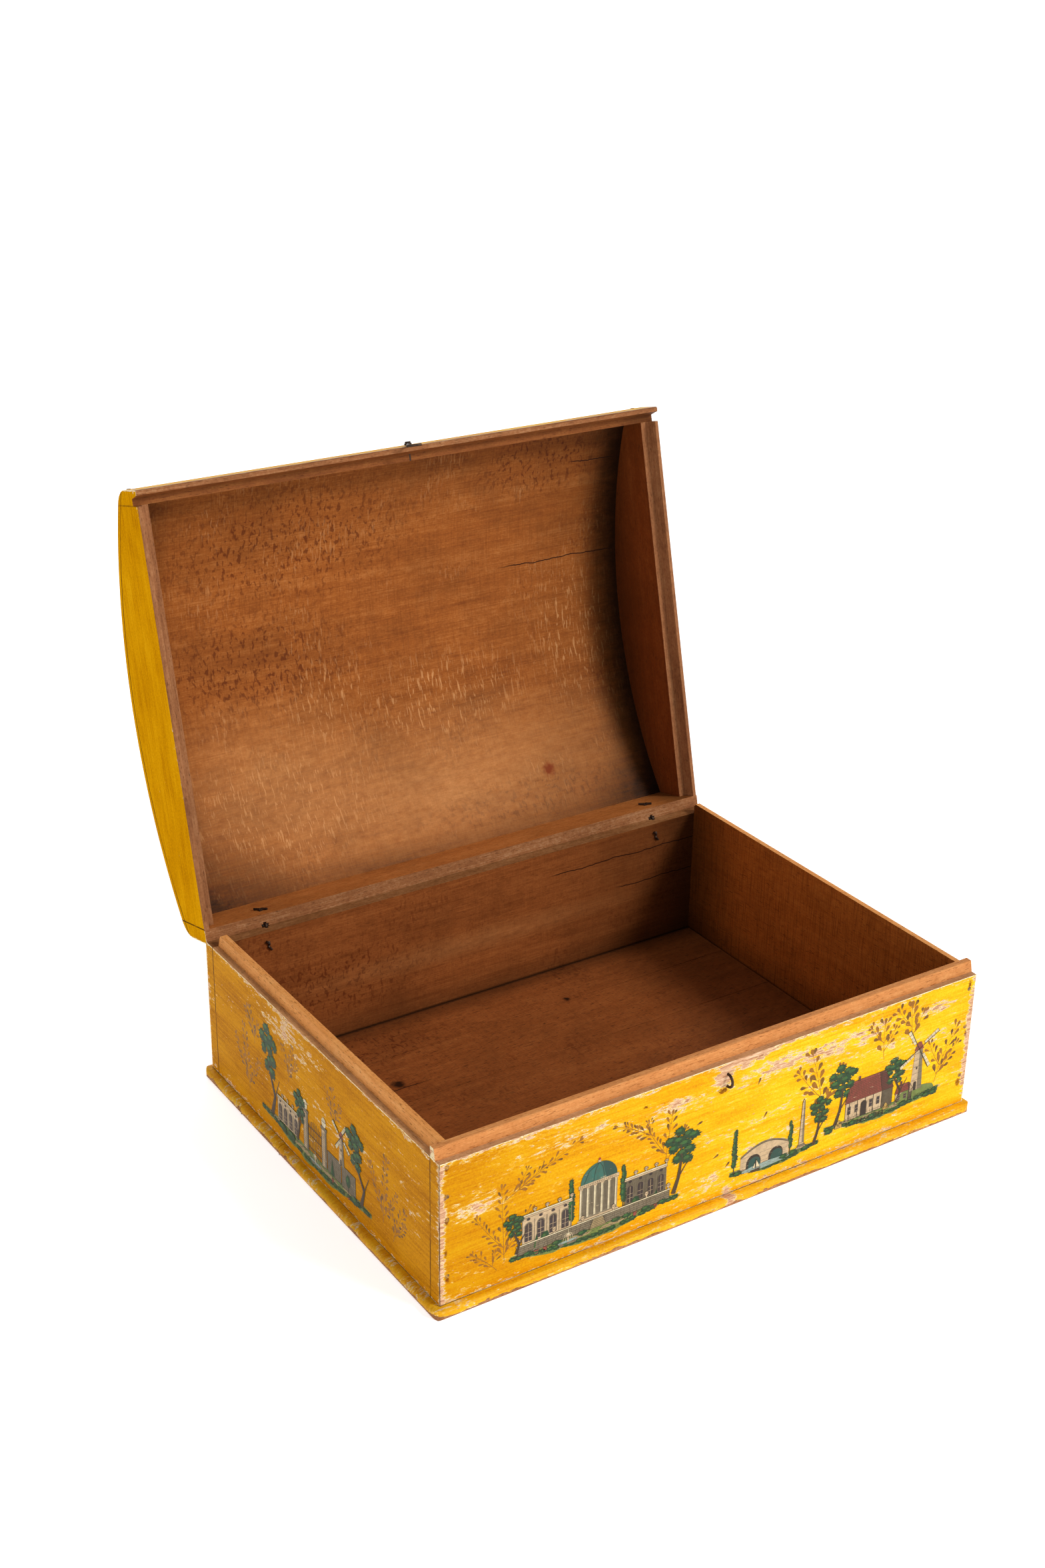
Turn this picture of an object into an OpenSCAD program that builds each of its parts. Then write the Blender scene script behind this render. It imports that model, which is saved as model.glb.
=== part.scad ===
// Small dome-lidded wooden chest, shown with its lid laid back on its stop.
// Boards are nailed together, the lid swings on two pairs of linked wire eyes,
// and a wire hook on the lid drops into a wire staple on the front.
// Origin: centre of the base's underside. X runs along the front, Y to the back, Z up.

/* [Box] */
// Length of the box along its front
body_w = 400; // [300:1:560]
// Depth of the box from front to back
body_d = 296; // [230:1:420]
// Height of the walls from the base to the ledge
wall_h = 95.8; // [70:0.1:160]
// Thickness of the four wall boards
board_t = 10; // [9:0.1:13]

/* [Rim] */
// Width of the ledge, from the outer face to the foot of the lip
ledge_w = 4.3; // [3.5:0.1:5]
// Height of the lip above the ledge
lip_h = 7.4; // [5:0.1:10]
// How far the lip's outer face leans in over its height
lip_lean = 1.6; // [0.6:0.1:2.4]
// Rounding of the lip's top outer edge
lip_round = 0.9; // [0.4:0.1:1.2]
// Gap between the lid's lip and the body's lip at the ledge
lip_foot_gap = 1.1; // [0.7:0.1:1.6]
// Gap between the sloped faces of the two lips at the top
lip_side_gap = 0.4; // [0.3:0.05:0.8]
// Gap over the lip's top when the lid is shut
lip_top_gap = 0.7; // [0.4:0.1:1.2]

/* [Base] */
// Thickness of the floor planks
base_t = 7; // [5:0.5:12]
// How far the base stands out past the walls
base_out = 5.5; // [4:0.5:10]
// Rounding of the base's corners, seen from above
base_corner_r = 9; // [4:0.5:12]
// Width of the rear floor plank
plank_back_w = 57.5; // [40:0.5:90]
// Width of the middle floor plank
plank_middle_w = 54; // [40:0.5:80]
// Open joint between two floor planks
plank_gap = 0.6; // [0.2:0.1:1]

/* [Lid] */
// Height of the dome's crown above the joint
crown_h = 65.7; // [56:0.1:90]
// Height at which the dome's curve would meet the front and back faces
eave_h = 30.5; // [26:0.1:34]
// How far the crown lies behind the middle
crown_back = 4; // [0:0.5:8]
// Thickness of the bent dome board
dome_t = 4; // [3:0.1:6]
// Rounding where the dome turns down into the front and back faces
shoulder_r = 16; // [8:0.5:20]
// Thickness of the lid's front rail
rail_front_t = 10.1; // [9:0.1:13]
// Thickness of the lid's back rail
rail_back_t = 9.6; // [9:0.1:12]
// Thickness of the lid's end boards
lid_end_t = 10; // [8:0.1:13]
// Rounding of the lid lip's lower outer edge
lid_lip_round = 1.2; // [0.5:0.1:1.5]
// Gap under the lid's edges when it is shut
lid_gap = 0.2; // [0.1:0.05:0.5]
// Glue line under the dome board
glue_gap = 0.12; // [0.05:0.01:0.3]

/* [Wire hinges] */
// How far the lid is laid back from shut, in degrees
lid_open = 103.84; // [90:0.01:112]
// Distance of each hinge from the end of the box
hinge_in = 42.5; // [25:0.5:90]
// Distance of the hinge line in front of the back face
pivot_in = 1.5; // [1.2:0.1:2.5]
// Diameter of the hinge wire
hinge_wire_d = 1.6; // [1.2:0.1:2]
// Play between the two linked eyes
eye_play = 0.05; // [0.03:0.01:0.1]
// Downward slant of the box eye's legs through the back board, in degrees
box_leg_slant = 46; // [40:1:55]
// Upward slant of the lid eye's legs through the back rail, in degrees
lid_leg_slant = 51; // [42:1:56]
// Length of each clinched end on the inside of the box
box_clinch = 3.2; // [2:0.1:5]
// Length of each clinched end on the inside of the lid
lid_clinch = 4.4; // [3:0.1:6]
// Room left in the wood round each eye
eye_room = 0.3; // [0.2:0.05:0.5]

/* [Catch] */
// Diameter of the staple and hook wire
catch_wire_d = 1.7; // [1.4:0.1:2]
// Height of the staple's middle below the ledge
staple_drop = 12.2; // [11:0.1:16]
// Distance between the staple's two legs
staple_span = 8.4; // [7:0.1:11]
// Straight length of the staple outside the wood, before its bow
staple_rise = 0.6; // [0.3:0.1:1.5]
// Length of the staple's legs inside the front board
staple_leg = 8; // [5:0.1:8.5]
// Height of the hook's pin above the joint
hook_pin_v = 8.7; // [8.5:0.1:12]
// Diameter of the hook's pin
hook_pin_d = 1.6; // [1.2:0.1:2]
// Gap between the hook and the staple's wire, both hooked and swung clear
hook_staple_gap = 0.6; // [0.4:0.1:1]
// Sweep of the hook's curved tip, in degrees about its pin
hook_tip_sweep = 26; // [20:1:34]
// Gap between the hook and the faces that it lies over
hook_gap = 0.3; // [0.2:0.05:0.5]

/* [Nails] */
// Diameter of a nail's shank
nail_d = 1.6; // [1.2:0.1:2.2]
// Diameter of a nail's head
nail_head_d = 2.8; // [2.4:0.1:3.6]
// Thickness of a nail's head
nail_head_t = 0.8; // [0.6:0.1:1.2]
// Length of the nails in the box's corners
corner_nail_l = 30; // [20:1:40]
// Length of the nails that hold the floor
floor_nail_l = 25; // [15:1:30]
// Length of the nails in the lid's corners
rail_nail_l = 28; // [20:1:36]
// Length of the nails that hold the dome board
top_nail_l = 16; // [12:1:20]
// Clearance round each nail and wire leg in its hole
fit_gap = 0.05; // [0.03:0.01:0.1]

/* [Hidden] */

// Overrun that every cut shares
cut = 1;

// Places of the corner nails, as shares of the wall's height below the ledge
nail_left_shares = [0.034, 0.237, 0.398, 0.8];
nail_right_shares = [0.096, 0.388, 0.77];
nail_back_shares = [0.12, 0.42, 0.78];
// Places of the floor nails along the front and back, as shares of the length
floor_x_shares = [-0.42, -0.14, 0.14, 0.42];
// Places of the floor nails along each side of the front plank, as shares of its width
floor_y_shares = [0.3, 0.7];
// Places of the lid's nails
rail_nail_shares = [0.45, 0.78];
top_x_shares = [-0.3, -0.1, 0.1, 0.3];
top_f_shares = [0.22, 0.5, 0.78];

// Levels and spans of the box
joint_z = base_t + wall_h;
inner_d = body_d - 2 * board_t;
end_x = body_w / 2 - board_t / 2;
lip_top_in = ledge_w + lip_lean;
hinge_x = body_w / 2 - hinge_in;
base_w = body_w + 2 * base_out;
base_d = body_d + 2 * base_out;
base_edge_r = base_t / 2;
plank_front_w = base_d - plank_back_w - plank_middle_w;

// Lid outline, measured back from the front face and up from the joint
dome_rise = crown_h - eave_h;
dome_r = (pow(body_d / 2, 2) + pow(dome_rise, 2)) / (2 * dome_rise);
dome_f = body_d / 2 + crown_back;
dome_v = crown_h - dome_r;
lid_lip_w = ledge_w - lip_foot_gap;
rebate_in = lip_top_in - lip_side_gap;
rebate_v = lip_h + lip_top_gap;
rail_back_f = body_d - rail_back_t;

// Linked eyes
hinge_r = hinge_wire_d / 2;
eye_r = 2 * hinge_r + eye_play;
leg_off = 0.9 * hinge_r;
eye_pocket_r = eye_r + hinge_r + eye_room;
wire_pocket_r = hinge_r + eye_room;
bend_r = 1.03 * hinge_r;
stop_bevel = lid_open / 2 + 0.3;
pivot_y = body_d / 2 - pivot_in;
// Slant of each clinched line along the inner face, in degrees, and the legs' drift along X
box_clinch_a = -50;
lid_clinch_a = -56;
box_drift_share = -0.19;
lid_drift_share = 0.27;

// Staple and hook
catch_r = catch_wire_d / 2;
staple_r = staple_span / 2;
hook_pin_r = hook_pin_d / 2;
hook_reach = hook_pin_v + staple_drop;
hook_out = hook_gap + catch_r;
hook_eye_r = hook_pin_r + 2 * fit_gap + catch_r;
hook_head_r = hook_eye_r + 0.3 * catch_r;
hook_bend_r = 1.03 * catch_r;
// Angle of the tip's end from straight down once it has swung clear of the staple
hook_clear_a = asin((catch_r + hook_staple_gap) / hook_reach);

paint = [0.9, 0.68, 0.16];
beech = [0.72, 0.5, 0.32];
dark_beech = [0.5, 0.31, 0.19];
iron = [0.2, 0.18, 0.17];

function arc_points(cx, cy, r, a0, a1, n) =
    [for (i = [0:n]) [cx + r * cos(a0 + (a1 - a0) * i / n), cy + r * sin(a0 + (a1 - a0) * i / n)]];
function unit(v) = v / norm(v);

// Height of the underside of the dome board at distance f from the front face
function under_dome(f) = dome_v + sqrt(pow(dome_r - dome_t, 2) - pow(f - dome_f, 2));
// Centre height of the front or back shoulder, for its centre's distance f
function shoulder_v(f) = dome_v + sqrt(pow(dome_r - shoulder_r, 2) - pow(f - dome_f, 2));

// A section drawn as (depth in Y, height) runs along X from x0
module along_x(x0, len) {
    translate([x0, 0, 0])
        rotate([90, 0, 90])
            linear_extrude(len)
                children();
}

// A rod from point a to point b
module rod(a, b, r) {
    d = b - a;
    len = norm(d);
    translate(a)
        rotate([0, acos(d[2] / len), atan2(d[1], d[0])])
            cylinder(r = r, h = len, $fn = 32);
}

// A wire through three points, with a rounded bend at the middle one
module bent_wire(pts, r, ball) {
    rod(pts[0], pts[1], r);
    rod(pts[1], pts[2], r);
    translate(pts[1])
        sphere(r = ball, $fn = 32);
}

// A nail with its head's top at the origin, pointing down Z; grow widens it into its hole
module nail(len, grow = 0) {
    translate([0, 0, -len - grow])
        cylinder(r = nail_d / 2 + grow, h = len + grow, $fn = 24);
    translate([0, 0, -nail_head_t - grow])
        cylinder(r = nail_head_d / 2 + grow, h = nail_head_t + grow + (grow > 0 ? cut : 0), $fn = 24);
}

// Wall boards

// Section of a wall board with its ledge and lip: depth inward, height from the base's top
module wall_section() {
    lip_top = wall_h + lip_h;
    slope_a = atan2(lip_h, lip_lean);
    polygon(concat(
        [[0, 0], [0, wall_h], [ledge_w, wall_h]],
        arc_points(lip_top_in + lip_round * tan(slope_a / 2), lip_top - lip_round, lip_round,
            90 + slope_a, 90, 6),
        [[board_t, lip_top], [board_t, 0]]));
}

// Nails through the front board into the ends of the side boards
module front_corner_nails(grow = 0) {
    for (s = nail_left_shares)
        translate([-end_x, -body_d / 2, joint_z - s * wall_h])
            rotate([90, 0, 0])
                nail(corner_nail_l, grow);
    for (s = nail_right_shares)
        translate([end_x, -body_d / 2, joint_z - s * wall_h])
            rotate([90, 0, 0])
                nail(corner_nail_l, grow);
}

module back_corner_nails(grow = 0) {
    for (side = [-1, 1], s = nail_back_shares)
        translate([side * end_x, body_d / 2, joint_z - s * wall_h])
            rotate([-90, 0, 0])
                nail(corner_nail_l, grow);
}

// Nails driven up through the floor planks into the walls
module base_nails(grow = 0) {
    plank_front_y = -base_d / 2;
    side_y = concat(
        [for (s = floor_y_shares) plank_front_y + s * plank_front_w],
        [plank_front_y + plank_front_w + plank_middle_w / 2]);
    for (s = floor_x_shares, end = [-1, 1])
        translate([s * body_w, end * (body_d / 2 - board_t / 2), 0])
            rotate([180, 0, 0])
                nail(floor_nail_l, grow);
    for (y = side_y, end = [-1, 1])
        translate([end * end_x, y, 0])
            rotate([180, 0, 0])
                nail(floor_nail_l, grow);
}

module front_board() {
    color(paint)
        difference() {
            translate([0, -body_d / 2, base_t])
                along_x(-body_w / 2, body_w)
                    wall_section();
            front_corner_nails(fit_gap);
            base_nails(fit_gap);
            staple(fit_gap);
        }
}

// The back board has a flat top, with a bevel on its outer edge for the lid to lean on
module back_board() {
    bevel_drop = pivot_in * tan(stop_bevel);
    color(paint)
        difference() {
            along_x(-body_w / 2, body_w)
                polygon([
                    [body_d / 2 - board_t, base_t],
                    [body_d / 2, base_t],
                    [body_d / 2, joint_z - bevel_drop],
                    [pivot_y, joint_z],
                    [body_d / 2 - board_t, joint_z]]);
            back_corner_nails(fit_gap);
            base_nails(fit_gap);
            for (side = [-1, 1]) {
                eye_bore(side, eye_pocket_r, wire_pocket_r);
                eye_bore(side, wire_pocket_r, eye_pocket_r);
                box_legs(side, fit_gap);
            }
        }
}

// Left side board: its lip stops at the back board, with a rounded rear corner
module side_board() {
    difference() {
        intersection() {
            translate([-body_w / 2, inner_d / 2, base_t])
                rotate([90, 0, 0])
                    linear_extrude(inner_d)
                        wall_section();
            along_x(-body_w / 2, board_t)
                polygon(concat(
                    [[-inner_d / 2, base_t], [inner_d / 2, base_t], [inner_d / 2, joint_z]],
                    arc_points(inner_d / 2 - 2 * lip_round, joint_z + lip_h - 2 * lip_round,
                        2 * lip_round, 0, 90, 6),
                    [[-inner_d / 2, joint_z + lip_h]]));
        }
        base_nails(fit_gap);
    }
}

module side_left() {
    color(paint)
        difference() {
            side_board();
            front_corner_nails(fit_gap);
            back_corner_nails(fit_gap);
        }
}

module side_right() {
    color(paint)
        difference() {
            mirror([1, 0, 0])
                side_board();
            front_corner_nails(fit_gap);
            back_corner_nails(fit_gap);
        }
}

// Floor planks

// Slab of the whole base: half-round edges and rounded corners
module base_slab() {
    intersection() {
        along_x(-base_w / 2, base_w)
            edge_section(base_d);
        translate([0, base_d / 2, 0])
            rotate([90, 0, 0])
                linear_extrude(base_d)
                    edge_section(base_w);
        linear_extrude(base_t)
            rounded_plan();
    }
}

module edge_section(span) {
    half = span / 2 - base_edge_r;
    polygon(concat(
        arc_points(half, base_edge_r, base_edge_r, -90, 90, 12),
        arc_points(-half, base_edge_r, base_edge_r, 90, 270, 12)));
}

module rounded_plan() {
    hx = base_w / 2 - base_corner_r;
    hy = base_d / 2 - base_corner_r;
    polygon(concat(
        arc_points(hx, hy, base_corner_r, 0, 90, 8),
        arc_points(-hx, hy, base_corner_r, 90, 180, 8),
        arc_points(-hx, -hy, base_corner_r, 180, 270, 8),
        arc_points(hx, -hy, base_corner_r, 270, 360, 8)));
}

// One plank: the part of the base between y0 and y0 + width
module plank(y0, width) {
    color(dark_beech)
        difference() {
            intersection() {
                base_slab();
                translate([-base_w / 2, y0, 0])
                    cube([base_w, width, base_t]);
            }
            base_nails(fit_gap);
        }
}

module floor_plank_front() {
    plank(-base_d / 2, plank_front_w - plank_gap / 2);
}

module floor_plank_middle() {
    plank(-base_d / 2 + plank_front_w + plank_gap / 2, plank_middle_w - plank_gap);
}

module floor_plank_back() {
    plank(base_d / 2 - plank_back_w + plank_gap / 2, plank_back_w - plank_gap / 2);
}

// Lid, drawn shut and then laid back

// Carries a lid piece from shut to laid back, about the hinge line
module laid_back() {
    translate([0, pivot_y, joint_z])
        rotate([-lid_open, 0, 0])
            translate([0, -pivot_y, -joint_z])
                children();
}

// A side view of the lid, drawn as (distance behind the front face, height over the joint)
module lid_side_view(x0, len) {
    translate([0, -body_d / 2, joint_z])
        along_x(x0, len)
            children();
}

// Rounds off the corner above a shoulder whose centre is at distance f; s is 1 at the back
module shoulder_cut(f, s) {
    v = shoulder_v(f);
    tangent_a = atan2(v - dome_v, s * (f - dome_f));
    far = 2 * shoulder_r;
    points = concat(
        arc_points(0, 0, shoulder_r, 0, tangent_a, 16),
        [[far * cos(tangent_a), far * sin(tangent_a)], [far, far], [far, 0]]);
    translate([f, v])
        scale([s, 1])
            polygon(points);
}

// Side view of the whole shut lid
module lid_outline() {
    difference() {
        intersection() {
            translate([dome_f, dome_v])
                circle(r = dome_r, $fn = 720);
            translate([0, lid_gap])
                square([body_d, crown_h]);
        }
        shoulder_cut(shoulder_r, -1);
        shoulder_cut(body_d - shoulder_r, 1);
    }
}

// Side view of what lies under the dome board
module under_board_outline() {
    intersection() {
        lid_outline();
        translate([dome_f, dome_v])
            circle(r = dome_r - dome_t - glue_gap, $fn = 720);
    }
}

// Lower edge of a lid board: a lip outside, a slope and a flat rebate inside
module lip_edge_section(thick) {
    top = crown_h;
    polygon(concat(
        arc_points(lid_lip_round, lid_gap + lid_lip_round, lid_lip_round, 180, 270, 6),
        [[lid_lip_w, lid_gap], [rebate_in, rebate_v], [thick, rebate_v], [thick, top], [0, top]]));
}

module lid_top() {
    color(beech)
        laid_back()
            difference() {
                lid_side_view(-body_w / 2, body_w)
                    difference() {
                        lid_outline();
                        translate([dome_f, dome_v])
                            circle(r = dome_r - dome_t, $fn = 720);
                        translate([-cut, -cut])
                            square([body_d + 2 * cut, eave_h / 2 + cut]);
                    }
                dome_nails(fit_gap);
            }
}

module lid_front_rail() {
    color(beech)
        laid_back()
            difference() {
                lid_side_view(-body_w / 2, body_w)
                    intersection() {
                        under_board_outline();
                        lip_edge_section(rail_front_t);
                    }
                corner_nails_lid(fit_gap);
                dome_nails(fit_gap);
                hook_pin_shank(fit_gap);
            }
}

// The back rail sits flat on the back board, with the bevel that meets the board's bevel
module lid_back_rail() {
    bevel_rise = pivot_in * tan(stop_bevel);
    bevel_in = pivot_in - lid_gap / tan(stop_bevel);
    color(beech)
        laid_back()
            difference() {
                lid_side_view(-body_w / 2, body_w)
                    intersection() {
                        under_board_outline();
                        polygon([
                            [rail_back_f, lid_gap],
                            [body_d - bevel_in, lid_gap],
                            [body_d, bevel_rise],
                            [body_d, crown_h],
                            [rail_back_f, crown_h]]);
                    }
                corner_nails_lid(fit_gap);
                dome_nails(fit_gap);
                for (side = [-1, 1]) {
                    eye_bore(side, eye_pocket_r, wire_pocket_r);
                    lid_eye_bore(side);
                    lid_legs(side, fit_gap);
                }
            }
}

// Left end board of the lid, between the two rails
module lid_end_board() {
    intersection() {
        translate([-body_w / 2, body_d / 2, joint_z])
            rotate([90, 0, 0])
                linear_extrude(body_d)
                    lip_edge_section(lid_end_t);
        lid_side_view(-body_w / 2, lid_end_t)
            intersection() {
                under_board_outline();
                translate([rail_front_t, 0])
                    square([rail_back_f - rail_front_t, crown_h]);
            }
    }
}

module lid_end_left() {
    color(beech)
        laid_back()
            difference() {
                lid_end_board();
                corner_nails_lid(fit_gap);
                dome_nails(fit_gap);
            }
}

module lid_end_right() {
    color(beech)
        laid_back()
            difference() {
                mirror([1, 0, 0])
                    lid_end_board();
                corner_nails_lid(fit_gap);
                dome_nails(fit_gap);
            }
}

// Nails through the rails into the lid's end boards
module corner_nails_lid(grow = 0) {
    x = body_w / 2 - lid_end_t / 2;
    for (side = [-1, 1], s = rail_nail_shares) {
        translate([side * x, -body_d / 2, joint_z + s * eave_h])
            rotate([90, 0, 0])
                nail(rail_nail_l, grow);
        translate([side * x, body_d / 2, joint_z + s * eave_h])
            rotate([-90, 0, 0])
                nail(rail_nail_l, grow);
    }
}

// Nails through the dome board into the rails and the end boards
module dome_nails(grow = 0) {
    x = body_w / 2 - lid_end_t / 2;
    rail_f = 0.65 * rail_front_t;
    low = shoulder_r - rail_f + nail_head_d / 2;
    sink = sqrt(pow(shoulder_r, 2) - pow(low, 2));
    for (s = top_x_shares) {
        translate([s * body_w, rail_f - body_d / 2, joint_z + shoulder_v(shoulder_r) + sink])
            nail(top_nail_l, grow);
        translate([s * body_w, body_d / 2 - rail_f, joint_z + shoulder_v(body_d - shoulder_r) + sink])
            nail(top_nail_l, grow);
    }
    for (side = [-1, 1], s = top_f_shares)
        translate([side * x, dome_f - body_d / 2, joint_z + dome_v])
            rotate([asin((dome_f - s * body_d) / dome_r), 0, 0])
                translate([0, 0, dome_r - fit_gap])
                    nail(top_nail_l, grow);
}

// Wire hinges: two closed eyes, each threaded through the other

// A round pocket about the hinge line
module eye_bore(side, r, half) {
    translate([side * hinge_x - half, pivot_y, joint_z])
        rotate([0, 90, 0])
            cylinder(r = r, h = 2 * half, $fn = 48);
}

// Direction of each eye's legs, in the shut lid
box_leg_dir = [0, -cos(box_leg_slant), -sin(box_leg_slant)];
lid_leg_dir = [0, -cos(lid_leg_slant), sin(lid_leg_slant)];
leg_start = sqrt(pow(eye_r, 2) - pow(leg_off, 2));

module box_eye_ring(side) {
    translate([side * hinge_x, pivot_y, joint_z])
        rotate([0, 90, 0])
            rotate_extrude($fn = 48)
                translate([eye_r, 0])
                    circle(r = hinge_r, $fn = 24);
}

// Legs of a box eye: side by side through the wood, then clinched apart on the inner face
module box_legs(side, grow = 0) {
    centre = [side * hinge_x, pivot_y, joint_z];
    off_dir = [0, -sin(box_leg_slant), cos(box_leg_slant)];
    dir = unit(box_leg_dir + [box_drift_share, 0, 0]);
    face_y = body_d / 2 - board_t - hinge_r - fit_gap;
    clinch_dir = [cos(box_clinch_a), 0, sin(box_clinch_a)];
    for (k = [-1, 1]) {
        start = centre + leg_start * box_leg_dir + k * leg_off * off_dir;
        bend = start + dir * (face_y - start[1]) / dir[1];
        if (grow > 0)
            rod(start, bend, hinge_r + grow);
        else
            bent_wire([start, bend, bend - k * box_clinch * clinch_dir], hinge_r, bend_r);
    }
}

module box_eye(side) {
    color(iron) {
        box_eye_ring(side);
        box_legs(side);
    }
}

module hinge_eye_box_left() {
    box_eye(-1);
}

module hinge_eye_box_right() {
    box_eye(1);
}

// Centre of the lid's eye, one eye radius out from the hinge line
function lid_eye_centre(side) = [side * hinge_x, pivot_y, joint_z] + eye_r * lid_leg_dir;

module lid_eye_bore(side) {
    translate(lid_eye_centre(side))
        rotate([-lid_leg_slant, 0, 0])
            translate([0, 0, -wire_pocket_r])
                cylinder(r = eye_pocket_r, h = 2 * wire_pocket_r, $fn = 48);
}

module lid_legs(side, grow = 0) {
    dir = unit(lid_leg_dir + [lid_drift_share, 0, 0]);
    face_y = rail_back_f - body_d / 2 - hinge_r - fit_gap;
    clinch_dir = [cos(lid_clinch_a), 0, sin(lid_clinch_a)];
    for (k = [-1, 1]) {
        start = lid_eye_centre(side) + leg_start * lid_leg_dir + [k * leg_off, 0, 0];
        bend = start + dir * (face_y - start[1]) / dir[1];
        if (grow > 0)
            rod(start, bend, hinge_r + grow);
        else
            bent_wire([start, bend, bend + k * lid_clinch * clinch_dir], hinge_r, bend_r);
    }
}

module lid_eye(side) {
    color(iron)
        laid_back() {
            translate(lid_eye_centre(side))
                rotate([-lid_leg_slant, 0, 0])
                    rotate_extrude($fn = 48)
                        translate([eye_r, 0])
                            circle(r = hinge_r, $fn = 24);
            lid_legs(side);
        }
}

module hinge_eye_lid_left() {
    lid_eye(-1);
}

module hinge_eye_lid_right() {
    lid_eye(1);
}

// Catch: a staple on the box, a hook and its pin on the lid

module staple(grow = 0) {
    bow_y = -body_d / 2 - staple_rise;
    translate([0, bow_y, joint_z - staple_drop]) {
        for (k = [-1, 1])
            translate([0, 0, k * staple_r])
                rotate([-90, 0, 0])
                    cylinder(r = catch_r + grow, h = staple_rise + staple_leg + grow, $fn = 32);
        if (grow == 0)
            rotate([0, -90, 0])
                rotate([0, 0, 180])
                    rotate_extrude(angle = 180, $fn = 64)
                        translate([staple_r, 0])
                            circle(r = catch_r, $fn = 32);
    }
}

module catch_eye() {
    color(iron)
        staple();
}

// The hook's pin goes through the front rail, and its head keeps the hook on
module hook_pin_shank(grow = 0) {
    translate([0, -body_d / 2 - hook_out - catch_r - fit_gap, joint_z + hook_pin_v])
        rotate([-90, 0, 0])
            cylinder(r = hook_pin_r + grow,
                h = rail_front_t + hook_out + catch_r + fit_gap + (grow > 0 ? cut : 0), $fn = 32);
}

module hook_pin() {
    color(iron)
        laid_back() {
            hook_pin_shank();
            translate([0, -body_d / 2 - hook_out - catch_r - fit_gap, joint_z + hook_pin_v])
                rotate([90, 0, 0])
                    cylinder(r = hook_head_r, h = nail_head_t, $fn = 32);
        }
}

// Hook: an eye round the pin, a straight shank and a tip curved about the pin.
// It lies swung to the left, its tip just clear of where the staple comes.
module lid_hook() {
    color(iron)
        laid_back()
            translate([0, -body_d / 2 - hook_out, joint_z + hook_pin_v])
                rotate([90, 0, 0])
                    rotate([0, 0, -90 - hook_clear_a - hook_tip_sweep]) {
                        rotate_extrude($fn = 64)
                            translate([hook_eye_r, 0])
                                circle(r = catch_r, $fn = 32);
                        translate([hook_eye_r, 0, 0])
                            rotate([0, 90, 0])
                                cylinder(r = catch_r, h = hook_reach - hook_eye_r, $fn = 32);
                        translate([hook_reach, 0, 0])
                            sphere(r = hook_bend_r, $fn = 32);
                        rotate_extrude(angle = hook_tip_sweep, $fn = 192)
                            translate([hook_reach, 0])
                                circle(r = catch_r, $fn = 32);
                    }
}

module corner_nails_front() {
    color(iron)
        front_corner_nails();
}

module corner_nails_back() {
    color(iron)
        back_corner_nails();
}

module floor_nails() {
    color(iron)
        base_nails();
}

module lid_rail_nails() {
    color(iron)
        laid_back()
            corner_nails_lid();
}

module lid_top_nails() {
    color(iron)
        laid_back()
            dome_nails();
}

floor_plank_front();
floor_plank_middle();
floor_plank_back();
front_board();
back_board();
side_left();
side_right();
hinge_eye_box_left();
hinge_eye_box_right();
catch_eye();
corner_nails_front();
corner_nails_back();
floor_nails();
lid_front_rail();
lid_back_rail();
lid_end_left();
lid_end_right();
lid_top();
hinge_eye_lid_left();
hinge_eye_lid_right();
hook_pin();
lid_rail_nails();
lid_top_nails();
lid_hook();
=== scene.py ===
# %% [markdown]
# # A small dome-lidded chest, painted yellow and laid open
#
# The real object is a little trunk of thin beech boards, nailed together and painted golden
# yellow over chalk gesso. Paper cut-outs are pasted on its faces, and brown leaf sprigs are
# brushed round them. The lid hangs on two pairs of linked wire eyes.
#
# The boards, wires and nails come from the CAD model as they are. Blender's work here is all
# surface: paint that has rubbed through to gesso and wood, the grain of each board, the iron,
# the pasted prints, and a light that shows them.

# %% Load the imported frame
from math import atan2, cos, pi, radians, sin, sqrt
from random import Random

import bpy
from mathutils import Matrix, Vector


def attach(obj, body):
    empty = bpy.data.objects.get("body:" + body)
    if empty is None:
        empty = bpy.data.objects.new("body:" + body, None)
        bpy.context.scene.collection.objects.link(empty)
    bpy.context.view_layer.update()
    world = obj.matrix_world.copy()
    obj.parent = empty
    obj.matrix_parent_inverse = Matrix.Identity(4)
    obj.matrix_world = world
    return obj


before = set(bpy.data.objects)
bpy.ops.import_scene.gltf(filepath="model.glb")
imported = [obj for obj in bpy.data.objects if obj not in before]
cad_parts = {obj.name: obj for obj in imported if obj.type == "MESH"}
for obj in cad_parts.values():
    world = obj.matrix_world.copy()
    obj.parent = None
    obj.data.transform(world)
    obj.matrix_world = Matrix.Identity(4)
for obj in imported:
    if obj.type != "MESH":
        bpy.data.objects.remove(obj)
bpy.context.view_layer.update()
print("nodes:", sorted(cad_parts))

# %% [markdown]
# The chest's own sizes, in metres, as its maker's rule gives them. X runs along the front,
# Y goes to the back and Z up. Every pattern below is placed from these, so a worn edge lies
# on the edge and a sprig starts where a print ends.

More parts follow.
